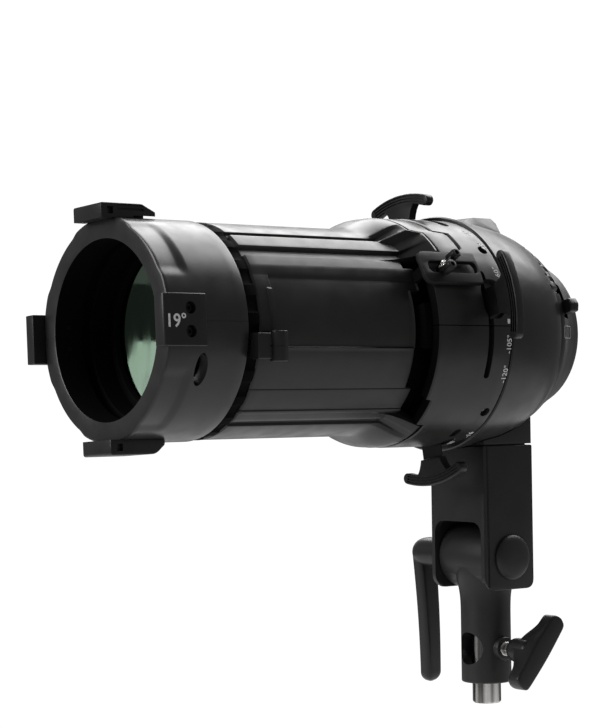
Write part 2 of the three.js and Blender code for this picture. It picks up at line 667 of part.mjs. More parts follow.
// Countersunk oblong vent below the right clip.
function tubeVent() {
  const oblong = outline([[-4, -5], [-3, -7.6], [0, -8.6], [3, -7.6], [4, -5], [4, 5], [3, 7.6],
    [0, 8.6], [-3, 7.6], [-4, 5]]);
  const hole = prism('x', oblong, 50, 62).translate(0, -233, 0);
  return hole.rotateY(radians(21.6)).translate(0, 0, AXIS_Z);
}

function clipHoles(side) {
  return [-5.6, 5.6].map((z) => rod('x', 1.5, 50, 63, CLIP_SCREW_Y, z, 14)
    .rotateY(radians((side > 0 ? 0 : 180) - TUBE_TURN)).translate(0, 0, AXIS_Z));
}

const CLIP_SCREW_Y = -245.4;

function lensTube(from, to) {
  return cut(tubeShell(from, to), tubeVent(), ...clipHoles(1), ...clipHoles(-1));
}

function lensSleeve() {
  return turnedY([[45.2, -232], [SLEEVE_R, -232], [SLEEVE_R, -124], [45.2, -124], [45.2, -232]]);
}

// ---------------------------------------------------------------- accessory clips
const CLIP_HALF = 12.6;
const CLIP_TOP = 62;
const CLIP_FRONT = -261;
const CLIP_REAR = -228.8;

// Upright over the tube's top; the underside follows the tube with the given clearance.
function clipBlock(rear, chamfer) {
  const section = outline([[CLIP_FRONT, 54.4], [CLIP_FRONT, CLIP_TOP - 0.8], [CLIP_FRONT + 0.8, CLIP_TOP],
    [rear - chamfer, CLIP_TOP], [rear, CLIP_TOP - Math.min(chamfer, 4.5)], [rear, 53], [CLIP_FRONT + 3, 53],
    [CLIP_FRONT + 3, 54.4]]);
  const block = prism('x', section, -CLIP_HALF, CLIP_HALF);
  const tube = rod('y', TUBE_R + 0.35, RIM_Y - 0.4, -200, 0, 0, 72);
  const pinHoles = [-1, 1].map((side) => box(
    Math.min(side * 10, side * 13), Math.max(side * 10, side * 13),
    CLIP_FRONT + 3.2, CLIP_FRONT + 7.2, 56, 60));
  return cut(block, tube, ...pinHoles);
}

function clip(angle, rear, chamfer) {
  return clipBlock(rear, chamfer).rotateY(radians(90 - angle - TUBE_TURN)).translate(0, 0, AXIS_Z);
}

function screwedClip(angle) {
  const seats = [-5.6, 5.6].flatMap((s) => [rod('z', 2.6, 59.6, 63, s, CLIP_SCREW_Y, 14),
    rod('z', 1.6, 50, 63, s, CLIP_SCREW_Y, 10)]);
  const block = cut(clipBlock(-236, 0.8), ...seats);
  return block.rotateY(radians(90 - angle - TUBE_TURN)).translate(0, 0, AXIS_Z);
}

function clipScrew(angle, s) {
  const screw = turnedZ([[0, 53], [1.2, 53], [1.2, 59.9], [2.2, 59.9], [2.2, 61.2], [0, 61.2]], 10);
  return screw.translate(s, CLIP_SCREW_Y, 0).rotateY(radians(90 - angle - TUBE_TURN)).translate(0, 0, AXIS_Z);
}

// The top clip is a sprung latch: it turns on a pin in this foot.
const LATCH_PIN = { y: -237.5, z: 59.6 };

function topLatch() {
  const relief = box(-14, 14, -242, -220, 50, LATCH_PIN.z - 2.2);
  const slot = box(-5.6, 5.6, -242, -220, 50, 70);
  const pinHole = rod('x', 1.2, -14, 14, LATCH_PIN.y, LATCH_PIN.z, 16);
  return cut(clipBlock(CLIP_REAR, 8), relief, slot, pinHole)
    .rotateY(radians(-TUBE_TURN))
    .translate(0, 0, AXIS_Z);
}

function latchFoot() {
  const foot = box(-5.2, 5.2, -240.8, -231, 53, 61.4);
  const tube = rod('y', TUBE_R + 0.35, -260, -200, 0, 0, 72);
  const pinHole = rod('x', 1.2, -14, 14, LATCH_PIN.y, LATCH_PIN.z, 16);
  return cut(foot, tube, pinHole).rotateY(radians(-TUBE_TURN)).translate(0, 0, AXIS_Z);
}

// ---------------------------------------------------------------- lens lock ring
function lockRing() {
  const teeth = 24;
  const angles = Array.from({ length: teeth * 4 }, (_, i) => i * 90 / teeth);
  const radius = (i) => (i % 4 < 2 ? 55.6 : 54);
  const ring = polarShell(angles, (angle) => {
    const r = radius(Math.round(angle * teeth / 90));
    return [[r, RING_FRONT], [r, RING_REAR]];
  }, () => [[SLEEVE_R + 0.5, RING_FRONT], [SLEEVE_R + 0.5, RING_REAR]], true);
  const arm = box(54, 61.5, -204.6, -191.7, -12.4, -5.4).translate(0, 0, AXIS_Z);
  const knuckle = rod('z', 4.6, -16.6, -1.6, 60.4, -191.7, 24).translate(0, 0, AXIS_Z);
  const room = rod('y', BARREL_R + 0.4, BARREL_FRONT - 0.4, -150, 0, AXIS_Z, 64);
  return join(ring, cut(join(arm, knuckle), room));
}

// ---------------------------------------------------------------- focus lock
const FOCUS_ANGLE = 28.3;
const FOCUS_SCREW_Y = -82;

function focusPlate() {
  const top = polarShell(spread(20.5, 36.5, 4),
    () => [[69, -97.4], [69, -58]], () => [[66.4, -97.4], [66.4, -58]]);
  const foot = polarShell(spread(23, 33, 5),
    () => [[66.8, -97], [66.8, -94.6]], () => [[56.4, -97], [56.4, -94.6]]);
  const slotShape = roundedRectangle(-93.4, -60.2, -3.6, 3.6, 3.5);
  const slot = prism('x', slotShape, 60, 75).rotateY(radians(-FOCUS_ANGLE)).translate(0, 0, AXIS_Z);
  return cut(join(top, foot), slot);
}

function focusScrew() {
  const screw = turnedX([[0, 61], [2, 61], [2, 69.5], [4.4, 69.5], [4.4, 73], [0, 73]], 0, 0, 20);
  const wings = [-1, 1].map((side) => rod('x', 2.6, 71, 78, side * 4.4, 0, 16));
  const bridge = box(71, 75, -4.4, 4.4, -2.2, 2.2);
  return join(screw, ...wings, bridge).rotateX(radians(-50)).translate(0, FOCUS_SCREW_Y, 0)
    .rotateY(radians(-FOCUS_ANGLE)).translate(0, 0, AXIS_Z);
}

// ---------------------------------------------------------------- everything in its place
piece('stand_spigot', spigot(), chrome());
piece('stand_receiver', receiver(), castBlack());
piece('clamp_screw', clampScrew(), chrome());
piece('clamp_wing', clampWing(), gripBlack());
piece('yoke_bracket', yokeBracket(), castBlack());
piece('tilt_bolt', tiltBolt(), castBlack());
piece('saddle_block', saddleBlock(), castBlack());
piece('saddle_screw', saddleScrew(), screwBlack());
piece('tilt_lever', tiltLever(), gripBlack());

piece('rear_housing', rearHousing(), bodyBlack());
piece('rear_collar', rearCollar(), bodyBlack());
piece('mount_release_lever', releaseLever(), gripBlack());
piece('mount_flange', mountFlange(), steel());
piece('condenser_cell', condenserCell(), darkAlloy());
piece('condenser_lens_front', lens(30.6, -30, -26, 5, 0), lensGlass());
piece('condenser_lens_rear', lens(30.6, -13.8, -9.8, 0, 7), lensGlass());
piece('condenser_retainer', hoop(30.7, 28.6, -8.4, 5), darkAlloy());

piece('gate_housing_upper', gateUpper(), bodyBlack());
piece('gate_housing_lower', gateLower(), bodyBlack());
const GATE_SCREW_ANGLES = { right_upper: 42, left_upper: 138, right_lower: -42, left_lower: -138 };
for (const [name, angle] of Object.entries(GATE_SCREW_ANGLES)) {
  piece(`gate_screw_${name}`, gateScrew(angle), screwBlack());
}
piece('guide_tube', guideTube(), darkAlloy());
piece('gate_plate_front', gatePlate(-57.6, -56.2), darkAlloy());
piece('gate_plate_rear', gatePlate(-44.4, -42.9), darkAlloy());
piece('slot_cover', slotCover(), bodyBlack());
for (const [name, shutter] of Object.entries(SHUTTERS)) {
  const frame = shutterFrame(shutter);
  piece(`shutter_${name}_carrier`, shutterCarrier(shutter), darkAlloy(), frame);
  piece(`shutter_${name}_blade`, shutterBlade(shutter), steel(), frame);
  piece(`shutter_${name}_grip`, shutterGrip(shutter), gripBlack(), frame);
}

piece('barrel_upper', barrelShell(mirrored(BARREL_UPPER_ANGLES, 90)), bodyBlack());
piece('barrel_lower', barrelShell(mirrored(BARREL_LOWER_ANGLES, -90)), bodyBlack());
piece('focus_plate', focusPlate(), bodyBlack());
piece('focus_screw', focusScrew(), screwBlack());
piece('lens_lock_ring', lockRing(), gripBlack());
piece('lens_tube_upper', lensTube(TUBE_TURN + TUBE_SEAM, TUBE_TURN + 180 - TUBE_SEAM), rimGrey());
piece('lens_tube_lower', lensTube(TUBE_TURN - 180 + TUBE_SEAM, TUBE_TURN - TUBE_SEAM), rimGrey());
piece('lens_sleeve', lensSleeve(), darkAlloy());
piece('front_lens_retainer', hoop(44.9, 41, -220.4, -217.4), darkAlloy());
piece('front_lens', lens(44.6, -217, -212, 0, 9), lensGlass());
piece('rear_lens', lens(44.6, -142, -137, 8, 0), lensGlass());
piece('rear_lens_retainer', hoop(44.9, 41.5, -136.6, -133), darkAlloy());
piece('clip_right', screwedClip(0), gripBlack());
piece('clip_left', screwedClip(180), gripBlack());
piece('clip_bottom', clip(-90, CLIP_REAR, 6), gripBlack());
piece('latch_top', topLatch(), gripBlack());
piece('latch_foot', latchFoot(), gripBlack());
for (const [side, angle] of Object.entries({ right: 0, left: 180 })) {
  piece(`clip_screw_${side}_upper`, clipScrew(angle, -5.6), screwBlack());
  piece(`clip_screw_${side}_lower`, clipScrew(angle, 5.6), screwBlack());
}

export default assembly;
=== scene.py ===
"""Looks of an ellipsoidal spotlight attachment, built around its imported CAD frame.

Code works in millimetres in the part's own frame (+Z up, optical axis along Y, lens facing -Y);
meshes are made in metres. Angles round the optical axis start at +X and rise towards +Z.
"""

import math

import bmesh
import bpy
from mathutils import Matrix, Vector


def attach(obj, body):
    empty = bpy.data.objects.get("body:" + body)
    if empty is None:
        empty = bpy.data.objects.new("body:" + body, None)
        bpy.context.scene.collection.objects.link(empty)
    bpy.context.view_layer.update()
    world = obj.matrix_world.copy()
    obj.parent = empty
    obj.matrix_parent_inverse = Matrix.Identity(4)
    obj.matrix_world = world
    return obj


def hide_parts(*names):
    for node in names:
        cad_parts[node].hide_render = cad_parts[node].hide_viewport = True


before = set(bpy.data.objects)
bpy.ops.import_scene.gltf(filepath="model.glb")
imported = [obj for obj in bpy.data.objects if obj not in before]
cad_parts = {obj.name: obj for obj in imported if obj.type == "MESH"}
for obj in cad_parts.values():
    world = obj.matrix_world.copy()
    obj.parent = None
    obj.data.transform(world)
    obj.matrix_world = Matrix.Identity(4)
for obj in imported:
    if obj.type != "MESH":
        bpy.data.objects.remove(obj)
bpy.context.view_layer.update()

MM = 0.001
AXIS_Z = 206.6
TILT_Z = 82.3
CLAMP_Z = 31.1

# ---- small maths
def smoothstep(lo, hi, value):
    t = min(1.0, max(0.0, (value - lo) / (hi - lo)))
    return t * t * (3 - 2 * t)


def spread(lo, hi, step):
    count = max(1, round(abs(hi - lo) / step))
    return [lo + (hi - lo) * i / count for i in range(count + 1)]


def densified(values, step):
    """The given values with even steps filled in between them."""
    out = [values[0]]
    for a, b in zip(values, values[1:]):
        out += spread(a, b, step)[1:]
    return out


def between(pairs, value):
    """Straight-line value between (position, value) pairs."""
    if value <= pairs[0][0]:
        return pairs[0][1]
    for (a, va), (b, vb) in zip(pairs, pairs[1:]):
        if value <= b:
            return va + (vb - va) * (value - a) / (b - a)
    return pairs[-1][1]


def rounded(points, radius, steps=4):
    """A closed outline with its corners turned into short curves; a third item is a corner's own radius."""
    out = []
    for i, point in enumerate(points):
        here = Vector(point[:2])
        before = Vector(points[i - 1][:2]) - here
        after = Vector(points[(i + 1) % len(points)][:2]) - here
        r = point[2] if len(point) > 2 else radius
        if r <= 0:
            out.append(tuple(here))
            continue
        start = here + before.normalized() * min(r, before.length * 0.48)
        end = here + after.normalized() * min(r, after.length * 0.48)
        for k in range(steps + 1):
            t = k / steps
            out.append(tuple(start * (1 - t) ** 2 + here * 2 * t * (1 - t) + end * t * t))
    return out


def circle(u, v, r, count=32):
    return [(u + r * math.cos(math.tau * i / count), v + r * math.sin(math.tau * i / count))
            for i in range(count)]


def folded(angle):
    """Angle folded onto the +X half: left and right sides of the housing are alike."""
    turned = (angle + 180) % 360 - 180
    if turned > 90:
        return 180 - turned
    if turned < -90:
        return -180 - turned
    return turned


def around(r, angle, y):
    a = math.radians(angle)
    return (r * math.cos(a), y, AXIS_Z + r * math.sin(a))


# ---- meshes
def linked(name, data):
    obj = bpy.data.objects.new(name, data)
    bpy.context.scene.collection.objects.link(obj)
    return obj


def mesh_object(name, points, faces):
    mesh = bpy.data.meshes.new(name)
    mesh.from_pydata([(x * MM, y * MM, z * MM) for x, y, z in points], [], faces)
    tidy_mesh(mesh)
    return linked(name, mesh)


def tidy_mesh(mesh):
    bm = bmesh.new()
    bm.from_mesh(mesh)
    bmesh.ops.remove_doubles(bm, verts=bm.verts, dist=2e-6)
    bmesh.ops.dissolve_degenerate(bm, edges=bm.edges, dist=1e-6)
    bmesh.ops.recalc_face_normals(bm, faces=bm.faces)
    bm.to_mesh(mesh)
    bm.free()


def loft(name, loops, ring=False):
    """Skin over closed loops of equal length; ring joins the last to the first, else the ends are capped."""
    count = len(loops[0])
    points = [p for loop in loops for p in loop]
    faces = []
    for i in range(len(loops) if ring else len(loops) - 1):
        j = (i + 1) % len(loops)
        for k in range(count):
            m = (k + 1) % count
            faces.append((i * count + k, j * count + k, j * count + m, i * count + m))
    if not ring:
        faces.append(tuple(range(count)))
        last = (len(loops) - 1) * count
        faces.append(tuple(last + k for k in range(count)))
    return mesh_object(name, points, faces)


def turn(name, profile, axis="y", centre=(0, AXIS_Z), segments=96):
    """A closed profile of (radius, along) turned about an axis; centre holds the two other coordinates."""
    loops = []
    for i in range(segments):
        c, s = math.cos(math.tau * i / segments), math.sin(math.tau * i / segments)
        u, v = centre
        if axis == "x":
            loops.append([(w, u + r * c, v + r * s) for r, w in profile])
        elif axis == "y":
            loops.append([(u + r * c, w, v + r * s) for r, w in profile])
        else:
            loops.append([(u + r * c, v + r * s, w) for r, w in profile])
    return loft(name, loops, ring=True)


def shell(name, angles, section, whole=False):
    """A skin round the optical axis; section(angle) gives a closed loop of (radius, y)."""
    return loft(name, [[around(r, a, y) for r, y in section(a)] for a in angles], ring=whole)


def inset(outline, amount):
    """The outline moved inwards by mitred offsets; for small amounts only."""
    area = sum(a[0] * b[1] - b[0] * a[1] for a, b in zip(outline, outline[1:] + outline[:1]))
    side = 1 if area > 0 else -1
    out = []
    for i, point in enumerate(outline):
        here = Vector(point)
        d0 = (here - Vector(outline[i - 1])).normalized()
        d1 = (Vector(outline[(i + 1) % len(outline)]) - here).normalized()
        normal = Vector((-(d0.y + d1.y), d0.x + d1.x)) * side
        if normal.length < 1e-6:
            out.append(tuple(here))
            continue
        normal.normalize()
        mitre = 1 / max(0.5, normal.dot(Vector((-d0.y, d0.x)) * side))
        out.append(tuple(here + normal * amount * mitre))
    return out


def prism(name, axis, outline, lo, hi, bevel=0.0, steps=3):
    """An outline extruded along an axis, drawn in the two other coordinates, with rounded rims."""
    def point(a, b, w):
        return {"x": (w, a, b), "y": (a, w, b), "z": (a, b, w)}[axis]

    levels = [(0.0, lo), (0.0, hi)]
    if bevel > 0:
        turns = [math.pi / 2 * k / steps for k in range(steps + 1)]
        levels = [(bevel * (1 - math.sin(t)), lo + bevel * (1 - math.cos(t))) for t in turns]
        levels += [(bevel * (1 - math.sin(t)), hi - bevel * (1 - math.cos(t))) for t in reversed(turns)]
    loops = []
    for amount, w in levels:
        shape = inset(outline, amount) if amount > 1e-9 else outline
        loops.append([point(a, b, w) for a, b in shape])
    return loft(name, loops)


def block(name, x0, x1, y0, y1, z0, z1, bevel=0.3):
    return prism(name, "x", [(y0, z0), (y1, z0), (y1, z1), (y0, z1)], x0, x1, bevel)


def rod(name, axis, radius, lo, hi, u=0.0, v=0.0, bevel=0.0, count=40):
    return prism(name, axis, circle(u, v, radius, count), lo, hi, bevel)


def raised(outline):
    """The outline with its second coordinate counted from the optical axis."""
    return [(point[0], AXIS_Z + point[1], *point[2:]) for point in outline]


def turned(obj, axis, degrees, centre=(0, 0, AXIS_Z)):
    c = Vector(centre) * MM
    rotation = Matrix.Rotation(math.radians(degrees), 4, axis)
    obj.data.transform(Matrix.Translation(c) @ rotation @ Matrix.Translation(-c))
    return obj


def to_angle(obj, angle):
    """Turns a piece drawn on +X (angle 0) to its angle round the optical axis."""
    return turned(obj, "Y", -angle)


def apply_modifiers(obj):
    graph = bpy.context.evaluated_depsgraph_get()
    mesh = bpy.data.meshes.new_from_object(obj.evaluated_get(graph))
    old = obj.data
    obj.modifiers.clear()
    obj.data = mesh
    bpy.data.meshes.remove(old)
    return obj


def boolean(obj, tools, how):
    for tool in tools:
        step = obj.modifiers.new("b", "BOOLEAN")
        step.operation = how
        step.object = tool
        step.solver = "MANIFOLD"
    apply_modifiers(obj)
    for tool in tools:
        bpy.data.objects.remove(tool)
    return obj


def cut(obj, *tools):
    return boolean(obj, tools, "DIFFERENCE")


def join(obj, *tools):
    return boolean(obj, tools, "UNION")


def common(obj, *tools):
    return boolean(obj, tools, "INTERSECT")


def bevelled(obj, width, segments=2, angle=32):
    step = obj.modifiers.new("bevel", "BEVEL")
    step.width = width * MM
    step.segments = segments
    step.limit_method = "ANGLE"
    step.angle_limit = math.radians(angle)
    return apply_modifiers(obj)


def place(obj, body, slot, material, *nodes, smooth=30):
    """Gives a finished piece its shading, material, body and the CAD nodes that it stands for."""
    obj.data.shade_smooth()
    obj.data.set_sharp_from_angle(angle=math.radians(smooth))
    obj.data.materials.clear()
    obj.data.materials.append(material)
    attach(obj, body)
    if nodes:
        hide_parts(*nodes)
    return obj


# ---- materials
def preset(node, **values):
    """Gives inputs of a node their values; _ in a name stands for a space."""
    for name, value in values.items():
        node.inputs[name.replace("_", " ")].default_value = value
    return node


def new_node(tree, kind, **values):
    return preset(tree.nodes.new("ShaderNode" + kind), **values)


def new_material(name):
    material = bpy.data.materials.new(name)
    material.use_nodes = True
    tree = material.node_tree
    tree.nodes.clear()
    shader = new_node(tree, "BsdfPrincipled")
    output = new_node(tree, "OutputMaterial")
    tree.links.new(shader.outputs["BSDF"], output.inputs["Surface"])
    return material, tree, shader


def noise(tree, scale, detail=3.0, stretch=(1, 1, 1)):
    """Noise in object space; scale is in waves per metre."""
    coords = new_node(tree, "TexCoord")
    mapping = new_node(tree, "Mapping", Scale=stretch)
    node = new_node(tree, "TexNoise", Scale=scale, Detail=detail)
    tree.links.new(coords.outputs["Object"], mapping.inputs["Vector"])
    tree.links.new(mapping.outputs["Vector"], node.inputs["Vector"])
    return node.outputs["Fac"]


def ramp(tree, value, low, high, lo=0.35, hi=0.65):
    node = new_node(tree, "MapRange", From_Min=lo, From_Max=hi, To_Min=low, To_Max=high)
    tree.links.new(value, node.inputs["Value"])
    return node.outputs["Result"]


def mixed(tree, factor, a, b):
    node = new_node(tree, "Mix")
    node.data_type = "RGBA"
    preset(node, A=(*a, 1), B=(*b, 1))
    tree.links.new(factor, node.inputs["Factor"])
    return node.outputs["Result"]


def bump(tree, shader, height, strength, distance):
    node = new_node(tree, "Bump", Strength=strength, Distance=distance)
    tree.links.new(height, node.inputs["Height"])
    tree.links.new(node.outputs["Normal"], shader.inputs["Normal"])


def coated(name, colour, lighter, roughness, grain, depth, specular=0.5, metallic=0.0):
    """Moulded plastic or paint: faint clouds of colour and gloss over a fine pebbled grain."""
    material, tree, shader = new_material(name)
    clouds = noise(tree, 28, 4)
    tree.links.new(mixed(tree, ramp(tree, clouds, 0, 1), colour, lighter), shader.inputs["Base Color"])
    gloss = ramp(tree, noise(tree, 90, 4), roughness - 0.05, roughness + 0.05)
    tree.links.new(gloss, shader.inputs["Roughness"])
    preset(shader, Specular_IOR_Level=specular, Metallic=metallic)
    bump(tree, shader, noise(tree, grain, 2), 0.35, depth)
    return material


def brushed(name, colour, lighter, roughness, stretch, scale=900, depth=4e-6):
    """Metal with lines along one way: fine brushing; where the colours run from near black to bright, the
    lines are painted reflection bands.
    """
    material, tree, shader = new_material(name)
    brush_lines_and_painted_reflections = noise(tree, scale, 3, stretch)
    tree.links.new(mixed(tree, ramp(tree, brush_lines_and_painted_reflections, 0, 1), colour, lighter), shader.inputs["Base Color"])
    tree.links.new(ramp(tree, brush_lines_and_painted_reflections, roughness - 0.06, roughness + 0.08), shader.inputs["Roughness"])
    preset(shader, Metallic=1.0)
    bump(tree, shader, brush_lines_and_painted_reflections, 0.25, depth)
    return material


def lens_material():
    """Coated glass in front of a black bore: nearly black, with green reflections."""
    material, tree, shader = new_material("coated_lens_glass")
    clouds = noise(tree, 14, 3)
    tree.links.new(mixed(tree, ramp(tree, clouds, 0, 1), (0.001, 0.002, 0.0012), (0.002, 0.004, 0.0025)),
                   shader.inputs["Base Color"])
    tree.links.new(ramp(tree, noise(tree, 160, 3, (1, 1, 0.1)), 0.05, 0.2), shader.inputs["Roughness"])
    preset(shader, IOR=1.56, Specular_Tint=(0.68, 1.0, 0.74, 1))
    return material


def print_material():
    """White pad-printed ink."""
    material, tree, shader = new_material("white_ink")
    tree.links.new(mixed(tree, ramp(tree, noise(tree, 1500, 2), 0, 1), (0.6, 0.6, 0.6), (0.8, 0.8, 0.8)),
                   shader.inputs["Base Color"])
    preset(shader, Roughness=0.6)
    return material


BODY = coated("charcoal_moulding", (0.014, 0.0139, 0.0134), (0.018, 0.0178, 0.0172),
              0.33, 2600, 2.5e-5, 0.34)
TUBE = coated("lens_tube_moulding", (0.014, 0.0138, 0.0138), (0.018, 0.0177, 0.0177),
              0.33, 2600, 2.5e-5, 0.42)
GRIP = coated("satin_black_grip", (0.011, 0.011, 0.0112), (0.014, 0.014, 0.0142), 0.34, 3200, 1.2e-5, 0.36)
CAST = coated("black_powder_coat", (0.012, 0.012, 0.0116), (0.016, 0.016, 0.0155), 0.42, 1500, 4e-5, 0.38)
# Flat black: the bore and inner parts' own anti-reflection black, and also painted shade on the front faces
# of the gate housing.
FLAT_BLACK = coated("anti_reflection_black_and_painted_shade", (0.0018, 0.0018, 0.0019), (0.003, 0.003, 0.0031),
                    0.8, 1800, 2e-5, 0.05)
PLATE = coated("painted_steel_plate", (0.009, 0.009, 0.0088), (0.012, 0.012, 0.0117),
               0.5, 2200, 1.5e-5, 0.16)
SCREW = coated("black_oxide", (0.01, 0.01, 0.01), (0.02, 0.02, 0.02), 0.35, 2400, 1e-5, 0.5, 0.7)
# Chrome for screws and spigot: the broad streaks in its base colour, from near black to bright, are painted
# reflection bands.
CHROME_PAINTED_REFLECTION_BANDS = brushed("chrome_painted_reflection_bands", (0.012, 0.011, 0.01), (0.66, 0.65, 0.63), 0.14, (1, 1, 0.02), 210, 2e-6)
STEEL = brushed("brushed_steel", (0.32, 0.32, 0.33), (0.48, 0.48, 0.49), 0.34, (1, 1, 12))
ALLOY = coated("black_anodised", (0.01, 0.01, 0.0105), (0.016, 0.016, 0.0165), 0.4, 2200, 1e-5, 0.5, 0.5)
LENS = lens_material()
INK = print_material()

# ---- lens tube
RIM_Y = -253.8
TUBE_R = 56.0
TUBE_REAR = -206.4
RIM_HOLE_R = 45.3
TUBE_TURN = 3.0
LENS_R = 44.6


def tube_radius(angle, y):
    """Tube skin with shallow soft-edged pockets behind the rim, between the clips."""
    quarter = (angle - TUBE_TURN) % 90
    sideways = smoothstep(22.5, 29.5, quarter) * (1 - smoothstep(60.5, 67.5, quarter))
    lengthways = 1 - smoothstep(RIM_Y + 11, RIM_Y + 17, y)
    return TUBE_R - 1.15 * sideways * lengthways


def tube_section(angle):
    r = tube_radius(angle, RIM_Y)
    outer = [(r - 1.1, RIM_Y), (r - 0.55, RIM_Y + 0.12), (r - 0.15, RIM_Y + 0.45), (r, RIM_Y + 0.95)]
    stations = spread(RIM_Y + 2, RIM_Y + 11, 3) + spread(RIM_Y + 12, RIM_Y + 17, 0.5)
    outer += [(tube_radius(angle, y), y) for y in stations + spread(RIM_Y + 20, TUBE_REAR - 1, 5)]
    outer += [(TUBE_R - 0.2, TUBE_REAR - 0.3), (TUBE_R - 0.7, TUBE_REAR)]
    step = RIM_HOLE_R + 3.4
    inner = [(step, TUBE_REAR), (step, -236.8), (step - 0.6, -237.6), (RIM_HOLE_R, -237.8)]
    inner += [(RIM_HOLE_R, RIM_Y + 0.8), (RIM_HOLE_R + 0.2, RIM_Y + 0.25), (RIM_HOLE_R + 0.8, RIM_Y)]
    return outer + inner


def tube_vent():
    oblong = [(-233 + 3.7 * a, AXIS_Z + 8.5 * b) for a, b in circle(0, 0, 1, 40)]
    return to_angle(prism("vent", "x", oblong, 44, 62), -21.6)


def clip_notches():
    """Slots in the tube behind the right clip, for its rear hooks."""
    shapes = []
    for z in (11.2, -0.6, -11.2):
        mid = AXIS_Z + z
        wedge = rounded([(-237.5, mid - 1.5), (-231.8, mid - 0.3),
                         (-231.8, mid + 0.9), (-237.5, mid + 1.5)], 0.4)
        shapes.append(to_angle(prism("notch", "x", wedge, 54.0, 60), TUBE_TURN))
    return shapes


def lens_tubes():
    seam = 0.06
    halves = {"upper": (TUBE_TURN + seam, TUBE_TURN + 180 - seam),
              "lower": (TUBE_TURN - 180 + seam, TUBE_TURN - seam)}
    for half, (lo, hi) in halves.items():
        obj = shell(f"lens_tube_shell_{half}", spread(lo, hi, 1.0), tube_section)
        cutters = clip_notches()
        if half == "lower":
            cutters.append(tube_vent())
        cut(obj, *cutters)
        place(obj, "barrel", "rim_grey", TUBE, f"lens_tube_{half}")
        obj.data.materials.append(FLAT_BLACK)
        for face in obj.data.polygons:
            c = face.center / MM
            radial = math.hypot(c.x, c.z - AXIS_Z)
            facing_in = face.normal.x * c.x + face.normal.z * (c.z - AXIS_Z) < 0
            if radial < 49.2 and facing_in and c.y > RIM_Y + 0.5:
                face.material_index = 1


def lens_parts():
    sleeve = turn("lens_sleeve_tube", rounded([(45.2, -231.8), (48.2, -231.8),
                                               (48.2, -124.2), (45.2, -124.2)], 0.4), segments=128)
    place(sleeve, "barrel", "dark_alloy", FLAT_BLACK, "lens_sleeve")
    ring = turn("front_lens_ring", rounded([(44.9, -220.4), (41.2, -220.4, 0.6),
                                            (40.2, -217.5), (44.9, -217.4)], 0.15), segments=128)
    place(ring, "barrel", "dark_alloy", FLAT_BLACK, "front_lens_retainer")

    def face(edge_y, hollow):
        return [(LENS_R * k / 24, edge_y + hollow * (1 - (k / 24) ** 2)) for k in range(25)]

    glass = turn("front_lens_glass", face(-217, 14.5) + face(-214, 15)[::-1], segments=128)
    place(glass, "barrel", "lens_glass", LENS, "front_lens")


# ---- accessory clips
CLIP_HALF = 12.6
CLIP_TOP = 62.0
CLIP_FOOT = 54.4
CLIP_FRONT = -261.0
CLIP_REAR = -228.8
CLIP_SCREW_X, CLIP_SCREW_Y = 5.6, -245.4
LATCH_Z = 59.6


def clip_body(name, section):
    """Drawn upright over the tube: a plate that follows the tube, with a bar hooked over the rim."""
    plate = prism(name, "x", raised(section), -CLIP_HALF, CLIP_HALF, 0.55)
    tube = rod("tube", "y", TUBE_R + 0.15, RIM_Y - 0.35, -190, 0, AXIS_Z, count=128)
    cut(plate, tube)
    keep = block("keep", -CLIP_HALF - 1, CLIP_HALF + 1, CLIP_FRONT - 1, -200,
                 AXIS_Z + CLIP_FOOT, AXIS_Z + 80, 0)
    return bevelled(common(plate, keep), 0.35, 2)


def side_windows():
    return [block("window", *sorted((s * 13.2, s * 10.6)), CLIP_FRONT + 3.4, CLIP_FRONT + 7.0,
                  AXIS_Z + 56.4, AXIS_Z + 60, 0) for s in (-1, 1)]


def upright(obj, angle):
    return turned(obj, "Y", 90 - angle - TUBE_TURN)


def screwed_clip(side, angle):
    rear = -236.0
    section = rounded([(CLIP_FRONT, 53.6), (CLIP_FRONT, CLIP_TOP, 1.6), (rear, CLIP_TOP, 0.7), (rear, 52),
                       (CLIP_FRONT + 3, 52)], 0.3)
    obj = clip_body(f"clip_{side}_body", section)
    seats = []
    for x in (-CLIP_SCREW_X, CLIP_SCREW_X):
        seats.append(rod("seat", "z", 3.0, AXIS_Z + 58.6, AXIS_Z + 64, x, CLIP_SCREW_Y))
        seats.append(rod("bore", "z", 1.6, AXIS_Z + 50, AXIS_Z + 62, x, CLIP_SCREW_Y))
    cut(obj, *seats)
    place(upright(obj, angle), "barrel", "grip_black", GRIP, f"clip_{side}")
    for x, end in ((-CLIP_SCREW_X, "upper"), (CLIP_SCREW_X, "lower")):
        top = AXIS_Z + 60.1
        head = rod(f"clip_screw_{side}_{end}_head", "z", 2.45, top - 1.4, top, x, CLIP_SCREW_Y, 0.25)
        hexagon = prism("hex", "z", circle(x, CLIP_SCREW_Y, 1.2, 6), top - 1.0, top + 1)
        shank = rod("shank", "z", 1.3, AXIS_Z + 44.6, top - 1.0, x, CLIP_SCREW_Y)
        cut(join(head, shank), hexagon)
        place(upright(head, angle), "barrel", "screw_black", SCREW, f"clip_screw_{side}_{end}")


def bottom_clip():
    section = rounded([(CLIP_FRONT, 53.6), (CLIP_FRONT, CLIP_TOP, 1.5), (CLIP_REAR - 5.5, CLIP_TOP, 2.5),
                       (CLIP_REAR, CLIP_TOP - 4.6, 0.8), (CLIP_REAR, 52), (CLIP_FRONT + 3, 52)], 0.3)
    obj = cut(clip_body("clip_bottom_body", section), *side_windows())
    place(upright(obj, -90), "barrel", "grip_black", GRIP, "clip_bottom")


